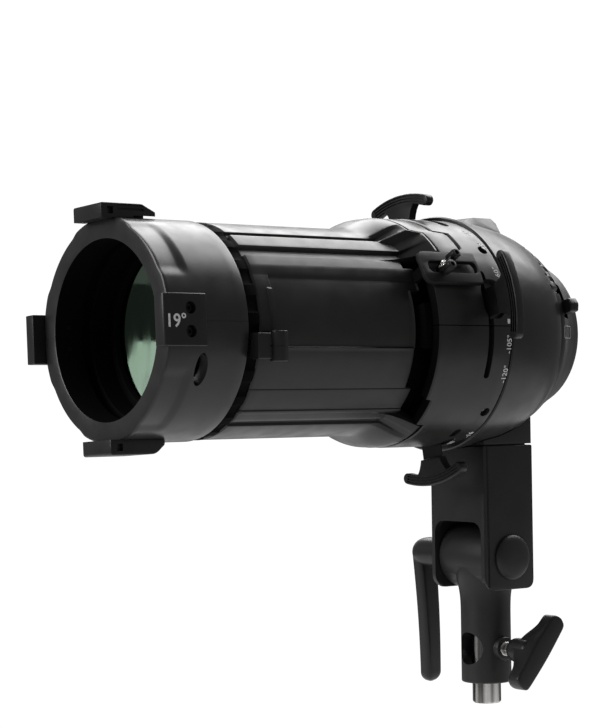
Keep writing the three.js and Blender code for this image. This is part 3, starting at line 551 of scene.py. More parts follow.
def top_latch():
    section = rounded([(CLIP_FRONT, 53.6), (CLIP_FRONT, CLIP_TOP, 1.2), (CLIP_REAR - 8, CLIP_TOP, 1.0),
                       (CLIP_REAR, CLIP_TOP - 3.9, 0.3), (CLIP_REAR, 52), (CLIP_FRONT + 3, 52)], 0.3)
    obj = clip_body("latch_top_body", section)
    relief = rod("relief", "y", 57.3, -242, -220, 0, AXIS_Z, count=128)
    slot = block("slot", -5.7, 5.7, -242, -220, AXIS_Z + 50, AXIS_Z + LATCH_Z + 1.2, 0)
    grooves = []
    for s in (-1, 1):
        for z in (58.9, 60.9):
            lo, hi = sorted((s * 13.2, s * 11.9))
            shape = [(-251.5, z - 0.55), (-235.5, z - 0.55), (-236.2, z + 0.55), (-251.5, z + 0.55)]
            grooves.append(prism("groove", "x", rounded(raised(shape), 0.4), lo, hi))
    cut(obj, relief, slot, *side_windows(), *grooves)
    place(turned(obj, "Y", -TUBE_TURN), "latch", "grip_black", GRIP, "latch_top")
    foot = block("latch_foot_block", -5.2, 5.2, -240.8, -231, AXIS_Z + 54, AXIS_Z + 59.4, 0.3)
    cut(foot, rod("tube", "y", TUBE_R + 0.15, -260, -200, 0, AXIS_Z, count=128))
    place(turned(foot, "Y", -TUBE_TURN), "barrel", "grip_black", GRIP, "latch_foot")


# ---- lens lock ring
RING_FRONT = -206.0
RING_REAR = -199.6
KNUCKLE = (60.4, -191.7)


def lock_ring():
    teeth, fine = 24, 8
    loops = []
    for i in range(teeth * fine):
        phase = (i % fine) / fine
        r = 54.2 + 1.2 * (smoothstep(0.02, 0.14, phase) - smoothstep(0.52, 0.64, phase))
        profile = rounded([(48.9, RING_FRONT), (r, RING_FRONT), (r, RING_REAR), (48.9, RING_REAR)], 0.35, 2)
        loops.append([around(radius, 360 * i / (teeth * fine), y) for radius, y in profile])
    ring = loft("lens_lock_ring_body", loops, ring=True)
    arm = block("lock_arm", 53.6, 60.9, -204.8, -191.5, AXIS_Z - 15.4, AXIS_Z - 2.6, 0.6)
    barrel = rod("knuckle", "z", 4.6, AXIS_Z - 16.6, AXIS_Z - 1.6, *KNUCKLE, 0.5, 48)
    line = raised([(4.35, -9.3), (6, -9.3), (6, -8.9), (4.35, -8.9)])
    groove = turn("groove", line, "z", KNUCKLE, 48)
    room = rod("room", "y", 56.5, -199.6, -150, 0, AXIS_Z, count=128)
    join(arm, barrel)
    cut(arm, room, groove)
    place(ring, "lock_ring", "grip_black", FLAT_BLACK, "lens_lock_ring")
    place(arm, "lock_ring", "grip_black", BODY)


# ---- barrel
BARREL_FRONT = -199.2
BARREL_BORE = 49.4
GATE_FRONT = -90.0
GATE_REAR = -38.2
GATE_BORE = 59.8
GATE_SCREWS = {"right_upper": 42, "left_upper": 138, "right_lower": -42, "left_lower": -138}
GATE_SCREW_Y = -43.4
LID_BEAD_R, LID_BEAD_ANGLE = 65, 140.5
FOCUS_ANGLE = 28.3
FOCUS_Y = -82

BARREL_SIDE = [
    (-90, 55.2), (-61, 55.2), (-60.6, 53.8), (-56.6, 53.8), (-56.2, 55.2), (-49.4, 55.2), (-49, 56),
    (-47.2, 56), (-46.8, 55.3), (-33.6, 55.3), (-33.2, 54.9), (-10.9, 54.9), (-10, 55.2), (28.9, 55.2),
    (33.8, 56), (40.6, 56), (41.4, 53.6), (47.4, 53.6), (48.2, 56), (57.2, 56), (57.8, 53.8),
    (61.4, 53.8), (62, 55.4), (90, 55.4)]
GATE_SIDE = [(-90, 61.8), (-73, 63), (-56, 64.6), (-48, 64.8), (38.4, 64.8), (39.6, 64.9), (56, 64.4),
             (73, 63.2), (90, 62)]


def gate_radius(angle):
    return between(GATE_SIDE, folded(angle))


def barrel_rear(angle):
    side = folded(angle)
    if side >= 56.4:
        return -84.8
    if side >= 40.5:
        return between([(40.4, -76.4), (54.2, -76.4), (56.4, -84.8)], side)
    if side <= -51.1:
        return -82.6
    if side <= -33.1:
        return -93.6
    if 22 < angle < 35:
        return GATE_FRONT - 1
    return -97.6


def barrel_radius(angle, y):
    side = folded(angle)
    base = between(BARREL_SIDE, side)
    rear = barrel_rear(angle)
    if -10.5 < side < 31:
        panel = smoothstep(-9.8, -9.4, side) * (1 - smoothstep(27.5, 29.2, side))
        base -= 0.9 * panel * smoothstep(-189.4, -188.6, y) * (1 - smoothstep(rear - 1.4, rear - 0.6, y))
        ridge = smoothstep(-1.6, -1.0, side) * (1 - smoothstep(20.4, 21.4, side))
        base += 0.8 * ridge * smoothstep(-192.4, -191.8, y) * (1 - smoothstep(-189.4, -188.8, y))
        return base
    if side > 62 or side < -61:
        return base + (gate_radius(angle) - 0.3 - base) * smoothstep(rear - 23, rear - 1.5, y)
    if side >= 40.5 or side <= -51.1:
        return base + (gate_radius(angle) - 0.3 - base) * min(1.0, max(0.0, (y - rear + 17) / 15.5))
    return base


def barrel_section(angle):
    rear = barrel_rear(angle)
    stations = [BARREL_FRONT + 0.9, -193, -192.4, -192.2, -192, -191.8, -191.4, -189.8, -189.4, -189.2, -189,
                -188.8, -188.6, -188.2, -160, -140, -124]
    stations += [rear - d for d in (24, 21, 19, 17, 15, 12.5, 10, 7.5, 5, 3, 1.5, 1.3, 0.9, 0.5)]
    outer = [(barrel_radius(angle, BARREL_FRONT) - 0.8, BARREL_FRONT)]
    outer += [(barrel_radius(angle, y), y) for y in stations]
    outer.append((barrel_radius(angle, rear) - 0.45, rear))
    flare = max(0.0, barrel_radius(angle, rear) - between(BARREL_SIDE, folded(angle)) - 0.5)
    mouth, throat = (flare + 3.4, flare * 0.8 + 2.2) if flare else (0, 0)
    inner = [(BARREL_BORE + mouth, rear), (BARREL_BORE + throat, rear - 5),
             (BARREL_BORE, rear - 15), (BARREL_BORE, BARREL_FRONT)]
    return outer + inner


def mirrored(angles, vertical):
    return angles + [2 * vertical - a for a in reversed(angles) if abs(a - vertical) > 0.05]


def barrels():
    """Two half shells; the listed angles are the edges of panels and flutes, one side only."""
    upper = [-9.85, -9.6, -9.4, -3.4, -1.6, -1.4, -1.2, -1, 3, 9.4, 15.8, 20.4, 20.7, 21, 21.4, 21.9, 22.1,
             25, 27.3, 27.8, 28.3, 28.8, 29.3, 31, 33.8, 34.9, 35.1, 40.3, 40.6, 40.9, 41.2, 41.4, 44, 47.4,
             47.7, 48, 48.2, 51, 54.2, 56.4, 57.2, 57.5, 57.8, 59.6, 61.4, 61.7, 62, 66, 90]
    lower = [-10.15, -10.6, -10.9, -18, -25.6, -33, -33.2, -33.6, -40, -46.8, -47.2, -49, -49.4, -51, -51.2,
             -56.2, -56.6, -60.6, -61, -66, -90]
    for name, angles, pole in (("upper", upper, 90), ("lower", lower, -90)):
        obj = shell(f"barrel_shell_{name}", mirrored(densified(angles, 1.5), pole), barrel_section)
        bevelled(obj, 0.22, 2, 28)
        place(obj, "barrel", "body_black", BODY, f"barrel_{name}")


# ---- gate housing
def gate_front(angle):
    side = folded(angle)
    if side >= 56.6:
        return -68.6
    if side > 38.8:
        return between([(38.8, -65), (42.6, -59.2), (54.6, -59.2), (56.6, -68.6)], side)
    if side < -50:
        return -81.2
    if side < -34.4:
        return -86.6
    return GATE_FRONT


SHUTTERS = {
    "top": dict(slot=90, angle=97, plane=-50.6, base=62.6, out=0),
    "bottom": dict(slot=-90, angle=-80.5, plane=-48, base=62.6, out=6.5),
    "right": dict(slot=3, angle=13, plane=-53.2, base=65.8, out=7),
    "left": dict(slot=180, angle=188, plane=-45.4, base=65.8, out=2),
}
SLOT_REACH = 26.2


def gate_section(angle):
    r = gate_radius(angle)
    y = gate_front(angle)
    outer = [(r - 1.2, y), (r - 0.5, y + 0.25), (r - 0.12, y + 0.8), (r, y + 1.5)]
    outer += [(r, y + 1.6 + (GATE_REAR - 2.8 - y) * k / 8) for k in range(9)]
    outer += [(r - 0.15, GATE_REAR - 0.5), (r - 0.7, GATE_REAR)]
    return outer + [(GATE_BORE, GATE_REAR), (GATE_BORE, y)]


def curved_cutter(name, lo, hi, front, rear, inner, outer=72.0):
    """A band round the axis with rounded ends, for slots and pockets in the housing wall."""
    half = (rear - front) / 2
    middle = (rear + front) / 2
    reach = math.degrees(half / 64)
    angles = [lo + reach * (1 - math.cos(t)) for t in spread(0.3, math.pi / 2, 0.25)]
    angles += spread(lo + reach, hi - reach, 2)[1:-1]
    angles += [hi - reach * (1 - math.cos(t)) for t in spread(math.pi / 2, 0.3, 0.25)]

    def section(a):
        edge = min(1.0, (a - lo) / reach, (hi - a) / reach)
        w = half * math.sqrt(max(0.0, 1 - (1 - edge) ** 2))
        return [(outer, middle - w), (outer, middle + w), (inner, middle + w), (inner, middle - w)]

    return shell(name, angles, section)


def gate_cutters(upper):
    tools = []
    for s in SHUTTERS.values():
        lo, hi = s["slot"] - SLOT_REACH, s["slot"] + SLOT_REACH
        tools.append(curved_cutter("slot", lo, hi, s["plane"] - 1.9, s["plane"] + 1.9, 56))
        if s["base"] < 64:
            tools.append(curved_cutter("room", lo, hi, s["plane"] - 2.9, s["plane"] + 2.9, s["base"] - 0.6))
    for angle in GATE_SCREWS.values():
        if (angle > 0) == upper:
            tools.append(to_angle(rod("seat", "x", 2.9, 62.2, 72, GATE_SCREW_Y, AXIS_Z), angle))
            tools.append(to_angle(rod("bore", "x", 2.3, 56, 70, GATE_SCREW_Y, AXIS_Z), angle))
    if upper:
        tools.append(curved_cutter("recess", 5, 25, -57.2, -41.6, 62.2))
        tools.append(to_angle(rod("stem", "x", 2.6, 56, 72, FOCUS_Y, AXIS_Z), FOCUS_ANGLE))
        x, _, z = around(LID_BEAD_R, LID_BEAD_ANGLE, 0)
        tools.append(rod("bead", "y", 2.1, -75, -61.4, x, z))
    else:
        tools.append(curved_cutter("oval", -61.5, -54, -54.6, -50.4, 61.5))
    return tools


def gates():
    upper = densified([2.1, 38.4, 38.9, 42.6, 48, 54.6, 56.6, 66, 90], 1.6)
    lower = densified([1.7, -34.2, -34.6, -49.8, -50.2, -56, -73, -90], 1.6)
    for name, angles, pole in (("upper", upper, 90), ("lower", lower, -90)):
        obj = shell(f"gate_shell_{name}", mirrored(angles, pole), gate_section)
        cut(obj, *gate_cutters(name == "upper"))
        place(obj, "head", "body_black", BODY, f"gate_housing_{name}")
        # Forward-facing faces near the gate's front edge get the flat black: painted shade, so that edge
        # reads as shadowed instead of lit.
        obj.data.materials.append(FLAT_BLACK)
        for face in obj.data.polygons:
            c = face.center / MM
            if face.normal.y < -0.75 and c.y < -75 and math.hypot(c.x, c.z - AXIS_Z) < 64.6:
                face.material_index = 1
    profile = rounded([(0, 59.9), (1.4, 59.9), (1.4, 60.8), (2.2, 60.8), (2.2, 62.4), (1.1, 62.4),
                       (0.9, 61.2), (0, 61.2)], 0.1)
    for name, angle in GATE_SCREWS.items():
        head = turn(f"gate_screw_{name}_head", profile, "x", (GATE_SCREW_Y, AXIS_Z), 32)
        place(to_angle(head, angle), "head", "screw_black", CHROME_PAINTED_REFLECTION_BANDS, f"gate_screw_{name}")


def key_block():
    """Raised block on the guide tube that keeps the sliding barrel from turning."""
    key = shell("guide_key_block", spread(-9.4, 13.4, 1.4),
                lambda a: [(50.6, -94.3), (59.1, -94.3), (59.1, -78.2), (50.6, -78.2)])
    place(bevelled(key, 0.5, 3), "head", "body_black", BODY)


def slot_lid():
    angles = mirrored(densified([39.9, 42.6, 48, 54.6, 56.8, 61, 67, 73, 90], 1.6), 90)
    front = [(39, -75.4), (54.4, -75.4), (56.8, -83.6), (91, -83.6)]
    rear = [(39, -66), (42.6, -60.2), (54.4, -60.2), (56.8, -69.6), (91, -69.6)]

    def section(a):
        r = gate_radius(a) - 0.3
        lo, hi = between(front, folded(a)), between(rear, folded(a))
        return [(r - 0.6, lo), (r - 0.15, lo + 0.2), (r, lo + 0.7), (r, hi - 0.7),
                (r - 0.15, hi - 0.2), (r - 0.6, hi), (r - 2.6, hi), (r - 2.6, lo)]

    lid = shell("slot_cover_lid", angles, section)
    x, _, z = around(LID_BEAD_R, LID_BEAD_ANGLE, 0)
    join(lid, rod("bead", "y", 1.5, -74.4, -62, x, z, 0.3))
    place(lid, "lid", "body_black", BODY, "slot_cover")


# ---- shutter grips
GRIP_OUTER, GRIP_INNER, GRIP_NECK = 66.0, 60.0, 8.0
GRIP_HEIGHT = 14.75


def arc(centre, r, a0, a1, count):
    angles = [a0 + (a1 - a0) * i / count for i in range(count + 1)]
    return [(r * math.sin(a), centre + r * math.cos(a)) for a in angles]


def grip_outline(low):
    """Anchor shape in (across, radius): a neck that opens into a bar bent round the housing."""
    centre = low + GRIP_HEIGHT - GRIP_OUTER
    middle, end = (GRIP_OUTER + GRIP_INNER) / 2, (GRIP_OUTER - GRIP_INNER) / 2
    tip = 21.4 / middle
    x, z = middle * math.sin(tip), centre + middle * math.cos(tip)
    half = [(x + end * math.sin(tip + t), z + end * math.cos(tip + t))
            for t in spread(0.35, math.pi - 0.35, 0.35)]
    half += arc(centre, GRIP_INNER, tip, (GRIP_NECK + 4) / GRIP_INNER, 8)
    half += [(GRIP_NECK + 4 * (1 - t) ** 2 + 0.5 * t * (1 - t), low + 8.1 * (1 - t) ** 1.3)
             for t in (0.3, 0.6, 0.85)]
    half.append((GRIP_NECK, low))
    return arc(centre, GRIP_OUTER, -tip, tip, 28) + half + [(-x, z) for x, z in reversed(half)], centre


def grip(name, angle, plane, base, out):
    low = base + out
    shape, centre = grip_outline(low)
    obj = prism(f"shutter_{name}_handle", "y", raised(shape), plane - 2.5, plane + 2.5, 0.7)
    ribs = []
    for depth in (1.5, 3.0, 4.5):
        r = GRIP_OUTER - depth
        band = arc(centre, r + 0.45, -0.33, 0.33, 24) + arc(centre, r - 0.45, 0.33, -0.33, 24)
        for lo, hi in ((plane - 3.5, plane - 1.6), (plane + 1.6, plane + 3.5)):
            ribs.append(prism("rib", "y", raised(band), lo, hi))
    cut(obj, *ribs)
    place(turned(obj, "Y", 90 - angle), f"{name}_shutter", "grip_black", GRIP, f"shutter_{name}_grip")


# ---- focus lock
def focus_plate():
    outline = rounded(raised([(-97.4, -9.3, 5), (-58, -9.3, 1), (-58, 9.3, 1), (-97.4, 9.3, 5)]), 1, 8)
    plate = to_angle(prism("focus_plate_top", "x", outline, 60, 75), FOCUS_ANGLE + 0.2)
    common(plate, turn("band", [(66.4, -99), (69, -99), (69, -57), (66.4, -57)], segments=360))
    foot = shell("focus_plate_foot", spread(25.5, 31, 1),
                 lambda a: [(66.3, -94.6), (66.3, -92.2), (56.4, -92.2), (56.4, -94.6)])
    place(foot, "barrel", "body_black", FLAT_BLACK)
    slot = rounded(raised([(-93.4, -3.6), (-59.5, -3.6), (-59.5, 3.6), (-93.4, 3.6)]), 3.6, 8)
    cut(plate, to_angle(prism("slot", "x", slot, 60, 75), FOCUS_ANGLE))
    place(bevelled(plate, 0.3, 2), "barrel", "body_black", PLATE, "focus_plate")


def focus_screw():
    profile = rounded([(0, 61), (2, 61), (2, 66.8), (3.4, 66.9), (3.4, 70.2), (2.2, 70.4),
                       (2.2, 72), (0, 72)], 0.25)
    neck = turn("focus_screw_neck", profile, "x", (FOCUS_Y, AXIS_Z), 40)
    place(to_angle(neck, FOCUS_ANGLE), "focus_knob", "screw_black", CHROME_PAINTED_REFLECTION_BANDS)
    outline = rounded(raised([(-88.6, -1.6), (-75.4, -1.6), (-75.4, 1.6), (-88.6, 1.6)]), 1.5)
    bar = prism("focus_screw_wing", "x", outline, 71.6, 75.4, 0.5)
    places = [FOCUS_Y - 4.7, FOCUS_Y + 4.7]
    join(bar, *[rod("end", "x", 2.7, 70.8, 77.8, y, AXIS_Z, 0.6) for y in places])
    cut(bar, *[rod("dimple", "x", 1.3, 76.6, 79, y, AXIS_Z) for y in places])
    turned(bar, "X", 50, (0, FOCUS_Y, AXIS_Z))
    place(to_angle(bar, FOCUS_ANGLE), "focus_knob", "screw_black", SCREW, "focus_screw")


# ---- rear housing, collar, lever
KNURL_START, KNURL_STEP = 26, 8


def rear_housing():
    skin = [(59.6, -37.8), (63.4, -37.8), (64.4, -37.5), (65, -36.7), (63, -22), (60.6, -8), (57.6, 2),
            (55.4, 7.6), (54.6, 8.7), (53.6, 9), (51.6, 9), (58, -8), (61.6, -34), (59.6, -36)]
    obj = turn("rear_housing_shell", skin, segments=160)
    section = [(-27.5, 50), (-18.6, 63.8), (18.6, 63.8), (27.5, 50), (24, 46), (-24, 46)]
    crown = prism("crown", "y", raised(section), -35, -7)
    slope = [(-35, 40), (-35, 60.5), (-20, 64.4), (-9.5, 64.4), (-7, 61), (-7, 40)]
    common(crown, prism("slope", "x", raised(slope), -60, 60))
    cut(crown, turn("inside", [(0, -40), (60.6, -40), (60.6, -34), (56.4, -8), (52, 10), (0, 10)]))
    join(obj, bevelled(crown, 0.35))
    cut(obj, *[shell("notch", [angle - 1.6, angle, angle + 1.6],
                     lambda a: [(54.1, 4.8), (54.1, 10), (62, 10), (62, 4.8)])
               for angle in range(KNURL_START, 155, KNURL_STEP)])
    place(obj, "head", "body_black", BODY, "rear_housing")


COLLAR_PROFILE = [(53.4, 9.4), (52.2, 14), (47.6, 21.5), (43.4, 29.5), (40.4, 36)]


def rear_collar():
    inner = [(38.2, 36), (41, 28.5), (45, 20.5), (49.6, 13), (49.6, 9.4)]

    def section(angle):
        a = angle % 360
        knurl = 0.0
        if 22 < a < 158:
            phase = ((a - KNURL_START) / KNURL_STEP) % 1
            near = min(phase, 1 - phase)
            ends = smoothstep(22, 24, a) * (1 - smoothstep(156, 158, a))
            knurl = 1.7 * (1 - smoothstep(0.12, 0.24, near)) * ends
        outer = [(r - knurl * (1 - smoothstep(14.8, 16.2, y)), y)
                 for r, y in densified_profile(COLLAR_PROFILE, 1.4)]
        outer[0] = (outer[0][0] - 0.4, outer[0][1])
        return outer + inner

    obj = shell("rear_collar_shell", [i * 0.75 for i in range(480)], section, whole=True)
    cut(obj, shell("slot", spread(9, 33, 3), lambda a: [(70, 14.8), (70, 21.8), (36, 21.8), (36, 14.8)]))
    place(obj, "head", "body_black", BODY, "rear_collar")
    mark = rounded([(13.4, -3.4), (24.2, -3.4), (24.2, 3.4), (13.4, 3.4)], 1.1, 3)
    ink_line("lock_mark", mark, 0.2, collar_radius, "head", INK)


def densified_profile(points, step):
    out = [points[0]]
    for (r0, y0), (r1, y1) in zip(points, points[1:]):
        count = max(1, round(math.hypot(r1 - r0, y1 - y0) / step))
        out += [(r0 + (r1 - r0) * k / count, y0 + (y1 - y0) * k / count) for k in range(1, count + 1)]
    return out


def collar_radius(y):
    return between([(y0, r0) for r0, y0 in COLLAR_PROFILE], y)


def ink_line(name, outline, width, radius_at, body, material):
    """A closed line of (y, arc length) laid on a turned surface."""
    inside = inset(outline, width)
    points, faces = [], []
    for lift in (-0.05, 0.08):
        for loop in (outline, inside):
            for y, s in loop:
                r = radius_at(y) + lift
                points.append(around(r, math.degrees(s / r), y))
    n = len(outline)
    for k in range(n):
        m = (k + 1) % n
        faces += [(k, m, n + m, n + k), (2 * n + k, 3 * n + k, 3 * n + m, 2 * n + m),
                  (k, 2 * n + k, 2 * n + m, m), (n + k, n + m, 3 * n + m, 3 * n + k)]
    place(mesh_object(name, points, faces), body, "body_black", material)


def release_lever():
    shoe = shell("mount_release_tab", spread(4, 27, 1.5),
                 lambda a: [(43.8, 14.6), (42.2, 20.6), (39, 20.6), (40.6, 14.6)])
    stem = to_angle(block("stem", 42, 51.5, 16.4, 20.4, AXIS_Z - 2.6, AXIS_Z + 2.6, 0), 15.5)
    thumb = rounded([(50.6, -3.8), (56.6, -3.8), (58, 0), (56.6, 3.8), (50.6, 3.8)], 0.9)
    tab = to_angle(prism("tab", "y", raised(thumb), 15.4, 21.4, 0.6), 15.5)
    join(shoe, stem, tab)
    place(shoe, "mount_lock", "grip_black", GRIP, "mount_release_lever")


# ---- bracket and stand
YOKE_HALF, YOKE_WALL = 21.7, 2.8
YOKE_FRONT, YOKE_BACK, WEB_FRONT = -17.7, 17.1, -20.5
YOKE_TOP, YOKE_BOTTOM, WEB_BOTTOM = 144.5, 64.4, 102.4


def rear_solid(clearance):
    skin = [(65, -37.8), (63, -22), (60.6, -8), (57.6, 2), (54.8, 9), (52.2, 14), (47.6, 21.5)]
    return turn("rear", [(0, -37.8)] + [(r + clearance, y) for r, y in skin] + [(0, 21.5)], segments=160)


def bracket():
    side = rounded([(YOKE_FRONT, YOKE_BOTTOM), (YOKE_BACK, YOKE_BOTTOM), (YOKE_BACK, YOKE_TOP, 1.2),
                    (YOKE_FRONT, YOKE_TOP, 1.2)], 5.6, 8)
    inner, edge = YOKE_HALF - YOKE_WALL, YOKE_HALF - 0.5
    obj = prism("yoke_bracket_body", "x", side, inner, YOKE_HALF, 0.6)
    left = prism("left", "x", side, -YOKE_HALF, -inner, 0.6)
    top = block("top", -edge, edge, YOKE_FRONT + 0.3, YOKE_BACK - 1, YOKE_TOP - 3.4, YOKE_TOP, 0.3)
    back = block("back", -edge, edge, YOKE_BACK - 3, YOKE_BACK - 0.4, WEB_BOTTOM, YOKE_TOP - 1, 0.3)
    side_view = rounded([(WEB_FRONT, 69.4, 3), (YOKE_FRONT + 1.1, 65.4, 0.5),
                         (YOKE_FRONT + 1.1, YOKE_TOP, 0.4), (WEB_FRONT, YOKE_TOP, 1)], 1)
    front = prism("front", "x", side_view, -YOKE_HALF, YOKE_HALF, 0.5)
    arch = rounded([(-inner, 50, 0), (-inner, WEB_BOTTOM, 8), (inner, WEB_BOTTOM, 8), (inner, 50, 0)], 8, 8)
    cut(front, prism("arch", "y", arch, -30, 0))
    join(obj, left, top, back, front)
    relief = [(inner - 0.3, YOKE_FRONT - 2), (YOKE_HALF - 0.9, YOKE_FRONT - 2),
              (inner - 0.3, YOKE_FRONT + 7)]
    cut(obj, prism("relief", "z", relief, YOKE_BOTTOM - 2, WEB_BOTTOM - 1))
    seams = [block("seam", *sorted((s * 21.4, s * 22.5)), YOKE_FRONT - 0.25, YOKE_FRONT + 0.15,
                   YOKE_BOTTOM, YOKE_TOP + 1, 0) for s in (-1, 1)]
    cut(obj, rod("bore", "x", 5.6, -30, 30, 0, TILT_Z), rear_solid(0.8), *seams)
    place(obj, "head", "cast_black", CAST, "yoke_bracket")


def tilt_bolt():
    profile = rounded([(0, -24, 0), (4.9, -24), (4.9, YOKE_HALF + 0.1), (12.6, YOKE_HALF + 0.1, 0.2),
                       (12.5, 23.2, 1.2), (10.4, 24.9, 2.5), (5, 25.8, 2.5), (0, 25.9, 0)], 0.4, 6)
    cap = turn("tilt_bolt_cap", profile, "x", (0, TILT_Z), 96)
    place(cap, "head", "cast_black", CAST, "tilt_bolt", smooth=50)


def saddle_block():
    saddle = block("saddle_block_body", -YOKE_HALF, YOKE_HALF, WEB_FRONT + 0.6, YOKE_BACK - 0.5,
                   YOKE_TOP + 0.7, 175, 0.6)
    cut(saddle, rear_solid(0.5))
    join(saddle, block("spacer", -19, 19, WEB_FRONT + 3, YOKE_BACK - 3, YOKE_TOP + 0.05, YOKE_TOP + 2, 0))
    place(saddle, "head", "cast_black", CAST, "saddle_block")


def tilt_lever():
    profile = rounded([(0, -24.5, 0), (9, -24.5, 0.4), (8.7, -48, 3), (7.4, -53.6, 3),
                       (4.4, -56.6, 2.4), (0, -57.4, 0)], 1, 6)
    hub = turn("tilt_lever_hub", profile, "x", (0, TILT_Z), 80)
    loops = []
    for t in spread(0, 0.92, 0.04) + spread(0.93, 1, 0.01):
        drop = 1 - 77 * t
        centre = -51.4 + 1.2 * math.sin(math.pi * t) - 3.0 * t
        tip = math.sqrt(max(0.04, 1 - (max(0.0, t - 0.93) / 0.0705) ** 2))
        width = (4.1 + 0.5 * t) * tip
        half = (7.0 - 1.6 * t) * tip
        edge = [(-width, -half), (width, -half), (width, half), (-width, half)]
        loops.append([(centre + a, b, TILT_Z + drop) for a, b in rounded(edge, min(width, half) * 0.8, 5)])
    arm = turned(loft("arm", loops), "X", 5, (0, 0, TILT_Z))
    join(hub, arm)
    place(hub, "lever", "grip_black", GRIP, "tilt_lever", smooth=40)


def receiver():
    stem = [(0, 11.8, 0), (13.4, 11.8, 0.6), (14, 12.4, 0.4), (14, 58, 8), (15.2, 66, 6), (17.4, 74, 3),
            (17.4, 82, 0), (0, 82, 0)]
    obj = turn("stand_receiver_body", rounded(stem, 0.4, 6), "z", (0, 0), 128)
    knuckle = rod("knuckle", "x", 18.2, -18.4, 18.4, 0, TILT_Z, 0.8, 96)
    boss = rod("boss", "x", 6.5, 10, 16.2, 0, CLAMP_Z, 0.5, 48)
    join(obj, knuckle, boss)
    cut(obj, rod("socket", "z", 8.4, 8, 58.6, count=64), rod("window", "y", 9, -20, 0, 0, CLAMP_Z, count=64),
        rod("hole", "x", 4.3, 0, 20, 0, CLAMP_Z), rod("bolt", "x", 5.4, -20, 20, 0, TILT_Z))
    place(obj, "receiver", "cast_black", CAST, "stand_receiver")


def spigot():
    profile = [(0, 0, 0), (7.2, 0, 0.2), (8, 0.8, 0.4), (8, 56, 1), (6.5, 58, 1), (0, 58, 0)]
    pin = turn("stand_spigot_pin", rounded(profile, 0.3, 4), "z", (0, 0))
    place(pin, "stand", "chrome", CHROME_PAINTED_REFLECTION_BANDS, "stand_spigot")


WING_BACK = 44.2


def clamp():
    thread = []
    for k in range(12):
        thread += [(3.35, 9.6 + k), (3.9, 10.1 + k)]
    screw = [(0, 8.7), (3.1, 8.7)] + thread + [(3.35, 21.6), (0, 21.6)]
    place(turn("clamp_screw_thread", screw, "x", (0, CLAMP_Z), 48), "clamp", "chrome", CHROME_PAINTED_REFLECTION_BANDS, "clamp_screw")
    profile = [(0, 21.7, 0), (5.4, 21.7, 0.5), (6.8, 24, 2), (6.8, 36, 1.5), (4.8, 39, 1.5), (0, 40, 0)]
    hub = turn("clamp_wing_knob", rounded(profile, 0.5, 4), "x", (0, CLAMP_Z), 64)
    loops = []
    for t in spread(-1, -0.9, 0.02) + spread(-0.86, 0.86, 0.05) + spread(0.9, 1, 0.02):
        reach = 23.3 * t
        half = (6.2 - 1.0 * t * t) * math.sqrt(max(0.1, 1 - abs(t) ** 24))
        front = 29.5 + 6.0 * smoothstep(0.12, 0.7, abs(t))
        hollow = 1.1 * math.sin(math.pi * min(1.0, abs(t) / 0.95)) ** 2
        middle = (front + WING_BACK) / 2
        edge = [(front, -half), (middle, -half + hollow, 3), (WING_BACK, -half), (WING_BACK, half),
                (middle, half - hollow, 3), (front, half)]
        loops.append([(x, b, CLAMP_Z + reach) for x, b in rounded(edge, 1.4, 4)])
    wing = turned(loft("wing", loops), "X", -41, (0, 0, CLAMP_Z))
    join(hub, wing)
    place(hub, "clamp", "grip_black", GRIP, "clamp_wing", smooth=40)


# ---- printed numbers
def printed(name, text, size, weight, body, fit):
    """Text as thin raised ink; fit turns its flat (along, up, lift) millimetres into a point."""
    curve = bpy.data.curves.new(name, "FONT")
    curve.body = text
    curve.size = size
    curve.align_x = curve.align_y = "CENTER"
    curve.resolution_u = 3
    curve.offset = weight
    curve.extrude = 0.04
    source = linked(name + "_source", curve)
    graph = bpy.context.evaluated_depsgraph_get()
    mesh = bpy.data.meshes.new_from_object(source.evaluated_get(graph))
    bpy.data.objects.remove(source)
    bpy.data.curves.remove(curve)
    for v in mesh.vertices:
        v.co = Vector(fit(v.co.x, v.co.y, v.co.z)) * MM
    tidy_mesh(mesh)
    place(linked(name, mesh), body, "body_black", INK)


def scale_numbers():
    def on_gate(angle, y):
        def fit(along, up, lift):
            r = gate_radius(angle) + 0.03 + lift
            return around(r, angle + math.degrees(along / r), y - up)
        return fit

    for number, angle, y in ((60, 28.2, -41.6), (105, -6.6, -40), (120, -21, -40), (45, 44.5, -41),
                             (165, -57.5, -41), (180, -69.5, -43.5), (30, 55, -43)):
        printed(f"scale_{number}", f"-{number}°", 4.6, 0.04, "head", on_gate(angle, y))

    def on_clip(along, up, lift):
        x, z = CLIP_TOP + 0.03 + lift, up - 0.9
        a = math.radians(TUBE_TURN)
        return (x * math.cos(a) - z * math.sin(a), along - 254, AXIS_Z + x * math.sin(a) + z * math.cos(a))

    printed("beam_angle_number", "19°", 8.9, 0.13, "barrel", on_clip)
    mark = [(-41.4, -1.2), (-38.8, -1.2), (-38.8, 1.2), (-41.4, 1.2)]
    points = [around(gate_radius(4) + lift, 4.2 + math.degrees(s / 64.8), y)
              for lift in (-0.05, 0.07) for y, s in mark]
    faces = [(0, 1, 2, 3), (4, 5, 6, 7)]
    faces += [(k, (k + 1) % 4, 4 + (k + 1) % 4, 4 + k) for k in range(4)]
    place(mesh_object("index_mark", points, faces), "head", "body_black", INK)


# ---- pieces that keep their CAD shape
def finish_cad_nodes():
    hidden = {"mount_flange": STEEL, "condenser_cell": FLAT_BLACK, "condenser_lens_front": LENS,
              "condenser_lens_rear": LENS, "condenser_retainer": ALLOY, "guide_tube": FLAT_BLACK,
              "gate_plate_front": FLAT_BLACK, "gate_plate_rear": FLAT_BLACK, "rear_lens": LENS,
              "rear_lens_retainer": ALLOY, "saddle_screw": SCREW}
    for name in SHUTTERS:
        hidden[f"shutter_{name}_carrier"] = ALLOY
        hidden[f"shutter_{name}_blade"] = ALLOY
    for name, material in hidden.items():
        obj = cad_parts[name]
        obj.data.materials.clear()
        obj.data.materials.append(material)


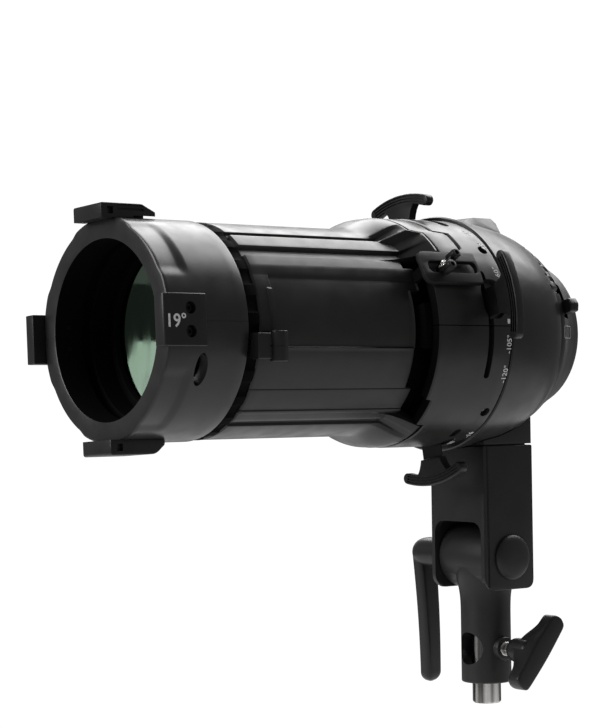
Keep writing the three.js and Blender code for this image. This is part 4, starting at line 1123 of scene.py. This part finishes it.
# ---- stage, camera and light
def stage():
    """A pale floor, white where it is seen and dimmer where it is reflected."""
    material, tree, shader = new_material("pale_floor")
    clouds = ramp(tree, noise(tree, 6, 2), 0, 1)
    tree.links.new(mixed(tree, clouds, (0.2, 0.2, 0.2), (0.22, 0.22, 0.22)), shader.inputs["Base Color"])
    preset(shader, Roughness=0.7, Emission_Color=(1, 1, 1, 1))
    path = new_node(tree, "LightPath")
    glow = ramp(tree, path.outputs["Is Camera Ray"], 0.5, 0.98, 0, 1)
    tree.links.new(glow, shader.inputs["Emission Strength"])
    half = 1000
    depth = -200  # clear of the lens when the head is tilted right down; the spigot belongs on a tall stand
    corners = [(-half, -half, depth), (half, -half, depth), (half, half, depth), (-half, half, depth)]
    floor = mesh_object("floor", corners, [(0, 1, 2, 3)])
    floor.data.materials.append(material)


def camera():
    azimuth, pitch, roll = math.radians(51.58), math.radians(1.022), math.radians(-0.789)
    right = Vector((math.cos(azimuth), math.sin(azimuth), 0))
    forward = Vector((-math.sin(azimuth) * math.cos(pitch), math.cos(azimuth) * math.cos(pitch),
                      math.sin(pitch)))
    up = right.cross(forward)
    across = right * math.cos(roll) + up * math.sin(roll)
    upward = up * math.cos(roll) - right * math.sin(roll)
    data = bpy.data.cameras.new("camera")
    data.lens = 109.7
    data.clip_start = 0.05
    data.clip_end = 50
    obj = linked("camera", data)
    eye = Vector((916.17, -857.55, 169.21)) * MM
    facing = Matrix((across, upward, -forward)).transposed().to_4x4()
    obj.matrix_world = Matrix.Translation(eye) @ facing
    bpy.context.scene.camera = obj


def softbox(name, position, target, width, height, radiance):
    data = bpy.data.lights.new(name, "AREA")
    data.shape = "RECTANGLE"
    data.size, data.size_y = width, height
    data.energy = radiance * 4 * width * height
    obj = linked(name, data)
    obj.location = position
    obj.rotation_euler = (Vector(target) - Vector(position)).to_track_quat("-Z", "Y").to_euler()
    obj.visible_camera = False


def lights():
    """Three softboxes in a room that is white to the camera and dim to everything else."""
    world = bpy.data.worlds.new("studio")
    bpy.context.scene.world = world
    world.use_nodes = True
    tree = world.node_tree
    tree.nodes.clear()
    path = new_node(tree, "LightPath")
    seen = new_node(tree, "Background", Color=(1, 1, 1, 1), Strength=1.05)
    dim = new_node(tree, "Background", Color=(1, 1, 1, 1), Strength=0.19)
    mix = new_node(tree, "MixShader")
    output = new_node(tree, "OutputWorld")
    tree.links.new(path.outputs["Is Camera Ray"], mix.inputs[0])
    tree.links.new(dim.outputs[0], mix.inputs[1])
    tree.links.new(seen.outputs[0], mix.inputs[2])
    tree.links.new(mix.outputs[0], output.inputs["Surface"])
    middle = (0, -0.1, 0.2)
    softbox("high_back", (-0.79, 1.2, 2.0), middle, 3.0, 1.6, 4.7)
    softbox("backdrop", (-1.9, 1.5, 0.5), middle, 2.6, 0.8, 0.8)
    softbox("front_left", (-0.5, -1.84, 1.13), middle, 1.05, 1.5, 5.6)
    bpy.context.scene.view_settings.view_transform = "Standard"


# ---- everything in its place
stage()
camera()
lights()
lens_tubes()
lens_parts()
screwed_clip("right", 0)
screwed_clip("left", 180)
bottom_clip()
top_latch()
lock_ring()
barrels()
gates()
key_block()
slot_lid()
for shutter, values in SHUTTERS.items():
    grip(shutter, values["angle"], values["plane"], values["base"], values["out"])
focus_plate()
focus_screw()
rear_housing()
rear_collar()
release_lever()
bracket()
tilt_bolt()
saddle_block()
tilt_lever()
receiver()
spigot()
clamp()
scale_numbers()
finish_cad_nodes()
